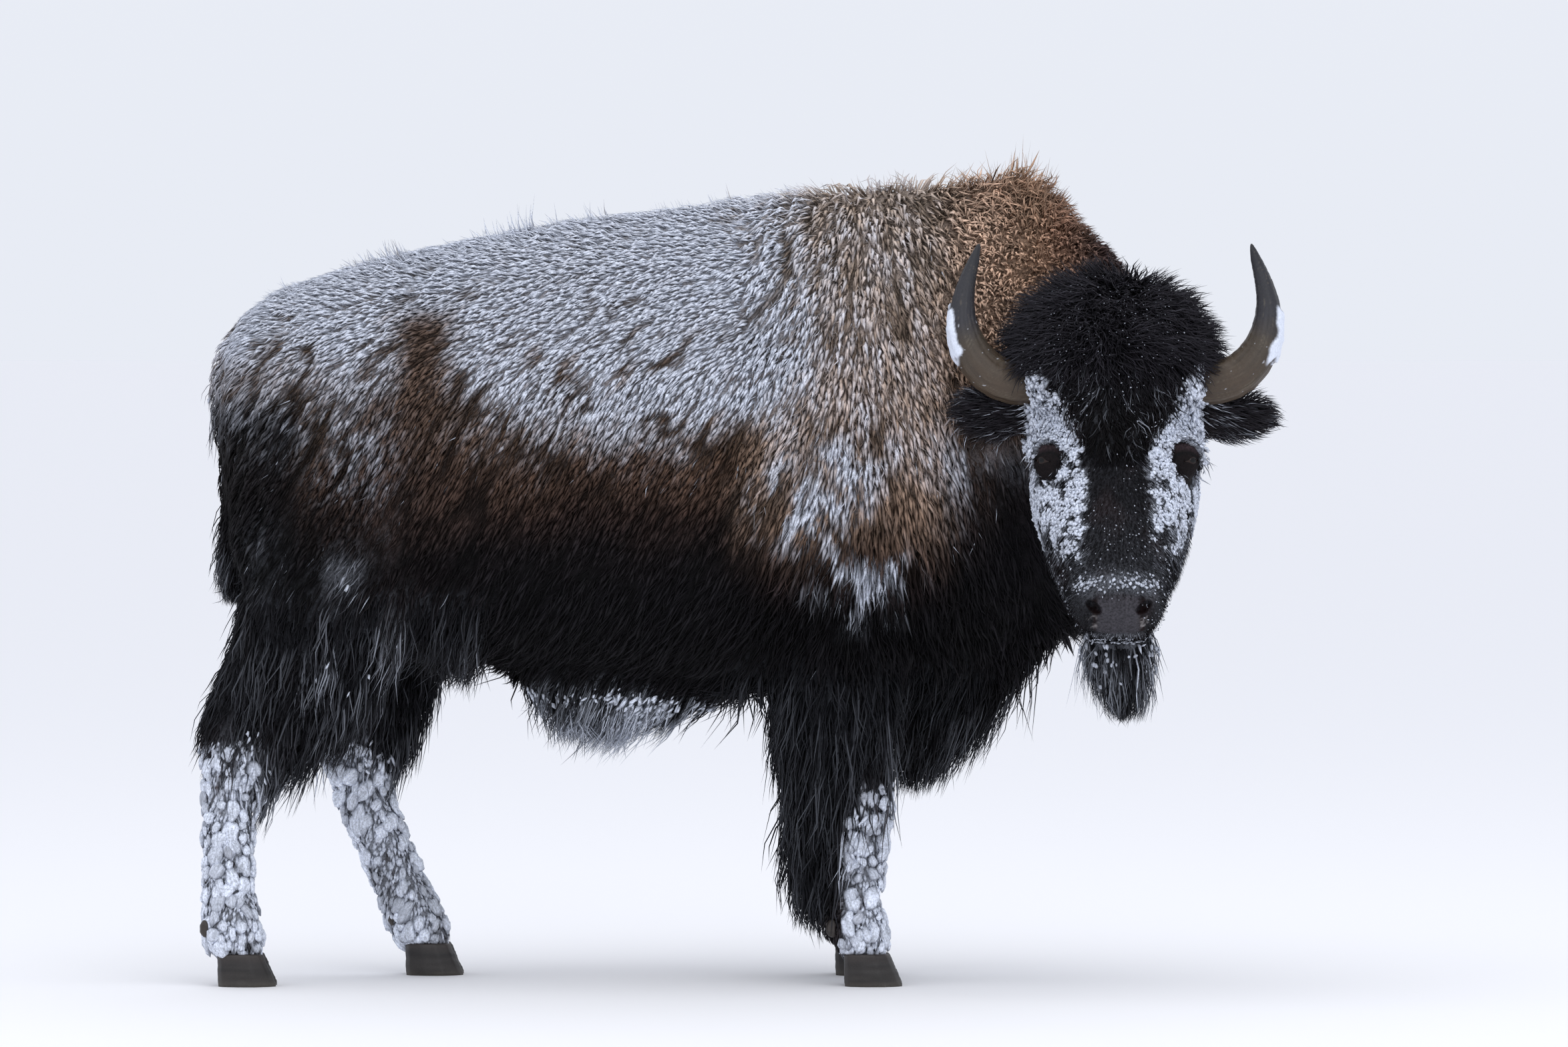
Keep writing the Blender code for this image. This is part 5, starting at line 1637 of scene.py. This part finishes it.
def eyeMaterial():
    # wet eye: near-black pupil in a dark brown iris under a clear hard gloss
    gloss = {"Roughness": 0.10, "IOR": 1.34, "Specular IOR Level": 0.5}
    material, tree, shader = newMaterial("wetEye", **gloss)
    pupil = addNode(tree, "ShaderNodeAttribute", attribute_name="pupil")
    rampNode = addNode(tree, "ShaderNodeValToRGB")
    scaled = addNode(tree, "ShaderNodeMapRange", {"Value": pupil.outputs["Fac"]},
                     **{"From Max": 0.021})
    tree.links.new(scaled.outputs["Result"], rampNode.inputs["Fac"])
    # from the middle outwards: pupil, iris, its rim and the dark white of the eye
    bands = [(0.20, "#050406"), (0.28, "#24150e"), (0.60, "#1a0f0b"), (0.74, "#3a2a25")]
    elements = rampNode.color_ramp.elements
    for number, (position, colour) in enumerate(bands):
        element = elements[number] if number < 2 else elements.new(position)
        element.position, element.color = position, (*linear(colour), 1)
    tree.links.new(rampNode.outputs["Color"], shader.inputs["Base Color"])
    return material


def hornMaterial():
    # horn sheath: weathered keratin with fine lengthwise fibres, a low shine, matt where snow sticks
    material, tree, shader = newMaterial("weatheredHorn", **{"Specular IOR Level": 0.4})
    coat = addNode(tree, "ShaderNodeAttribute", attribute_name="coat")
    snow = addNode(tree, "ShaderNodeAttribute", attribute_name="snow")
    place = addNode(tree, "ShaderNodeTexCoord")
    fibre = addNode(tree, "ShaderNodeTexNoise", {"Vector": place.outputs["Object"]}, Scale=260.0, Detail=4.0,
                    Roughness=0.65)
    shade = addNode(tree, "ShaderNodeMapRange", {"Value": fibre.outputs["Fac"]},
                    **{"To Min": 0.70, "To Max": 1.30})
    tinted = addNode(tree, "ShaderNodeVectorMath", {0: coat.outputs["Color"], "Scale": shade.outputs["Result"]},
                     operation="SCALE")
    tree.links.new(tinted.outputs["Vector"], shader.inputs["Base Color"])
    gloss = addNode(tree, "ShaderNodeMapRange", {"Value": snow.outputs["Fac"]},
                    **{"To Min": 0.42, "To Max": 0.85})
    tree.links.new(gloss.outputs["Result"], shader.inputs["Roughness"])
    relief = addNode(tree, "ShaderNodeBump", {"Height": fibre.outputs["Fac"]}, Strength=0.5, Distance=0.0009)
    tree.links.new(relief.outputs["Normal"], shader.inputs["Normal"])
    return material


hairMaterial = frostedHair()
for piece in coatPieces + frostPieces:
    piece.data.materials.append(hairMaterial)
skin.data.materials.clear()
skin.data.materials.append(hideMaterial())
eyeFinish = eyeMaterial()
for eye in eyes:
    eye.data.materials.append(eyeFinish)
hornFinish = hornMaterial()
for piece in horns + claws:
    piece.data.materials.append(hornFinish)
stage("materials")

skin.data.shade_smooth()
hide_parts(*fleshNodes)
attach(skin, "root")


# floor, light and camera

studio = {
    "cameraFrom": (0.0937, -21.8516, 1.58), "cameraTo": (0.0937, 0.1484, 0.935), "lens": 247,
    "sky": 1.0, "horizon": 0.944,
    # name, place, size in metres, watts
    "lights": (("overhead", (-0.5, -2.0, 8.0), 7.0, 150), ("front", (3.0, -11.0, 5.0), 6.0, 140)),
    "lightsTo": (0, 0, 0.9), "floorRadius": 90,
}

camera = bpy.data.cameras.new("camera")
cameraObject = addObject("camera", camera)
camera.lens = studio["lens"]
camera.sensor_width = 36
camera.clip_end = 300
cameraObject.location = studio["cameraFrom"]
aim = Vector(studio["cameraTo"]) - Vector(studio["cameraFrom"])
cameraObject.rotation_euler = aim.to_track_quat("-Z", "Y").to_euler()
bpy.context.scene.camera = cameraObject

# an even pale sky, a little darker at the horizon so that the floor runs into it
world = bpy.data.worlds.new("studio")
bpy.context.scene.world = world
world.use_nodes = True
worldTree = world.node_tree
where = addNode(worldTree, "ShaderNodeTexCoord")
parts = addNode(worldTree, "ShaderNodeSeparateXYZ", {"Vector": where.outputs["Generated"]})
height = addNode(worldTree, "ShaderNodeMapRange", {"Value": parts.outputs["Z"]},
                 **{"From Min": 0.0, "From Max": 0.25, "To Min": studio["horizon"], "To Max": studio["sky"]})
worldTree.links.new(height.outputs["Result"], worldTree.nodes["Background"].inputs["Strength"])
worldTree.nodes["Background"].inputs["Color"].default_value = (*linear("#eef2fb"), 1)
bpy.context.scene.view_settings.view_transform = "Standard"

for name, place, size, watts in studio["lights"]:
    light = bpy.data.lights.new(name, "AREA")
    light.energy = watts
    light.size = size
    lightObject = addObject(name, light)
    lightObject.location = place
    aim = Vector(studio["lightsTo"]) - Vector(place)
    lightObject.rotation_euler = aim.to_track_quat("-Z", "Y").to_euler()

deselect()
bpy.ops.mesh.primitive_circle_add(vertices=96, radius=studio["floorRadius"], fill_type="NGON",
                                  location=(0, 0, 0))
floor = bpy.context.object
floor.name = "floor"
floorLook = {"Base Color": (*linear("#f9f8f9"), 1), "Roughness": 0.9}
floor.data.materials.append(newMaterial("matteStudioFloor", **floorLook)[0])
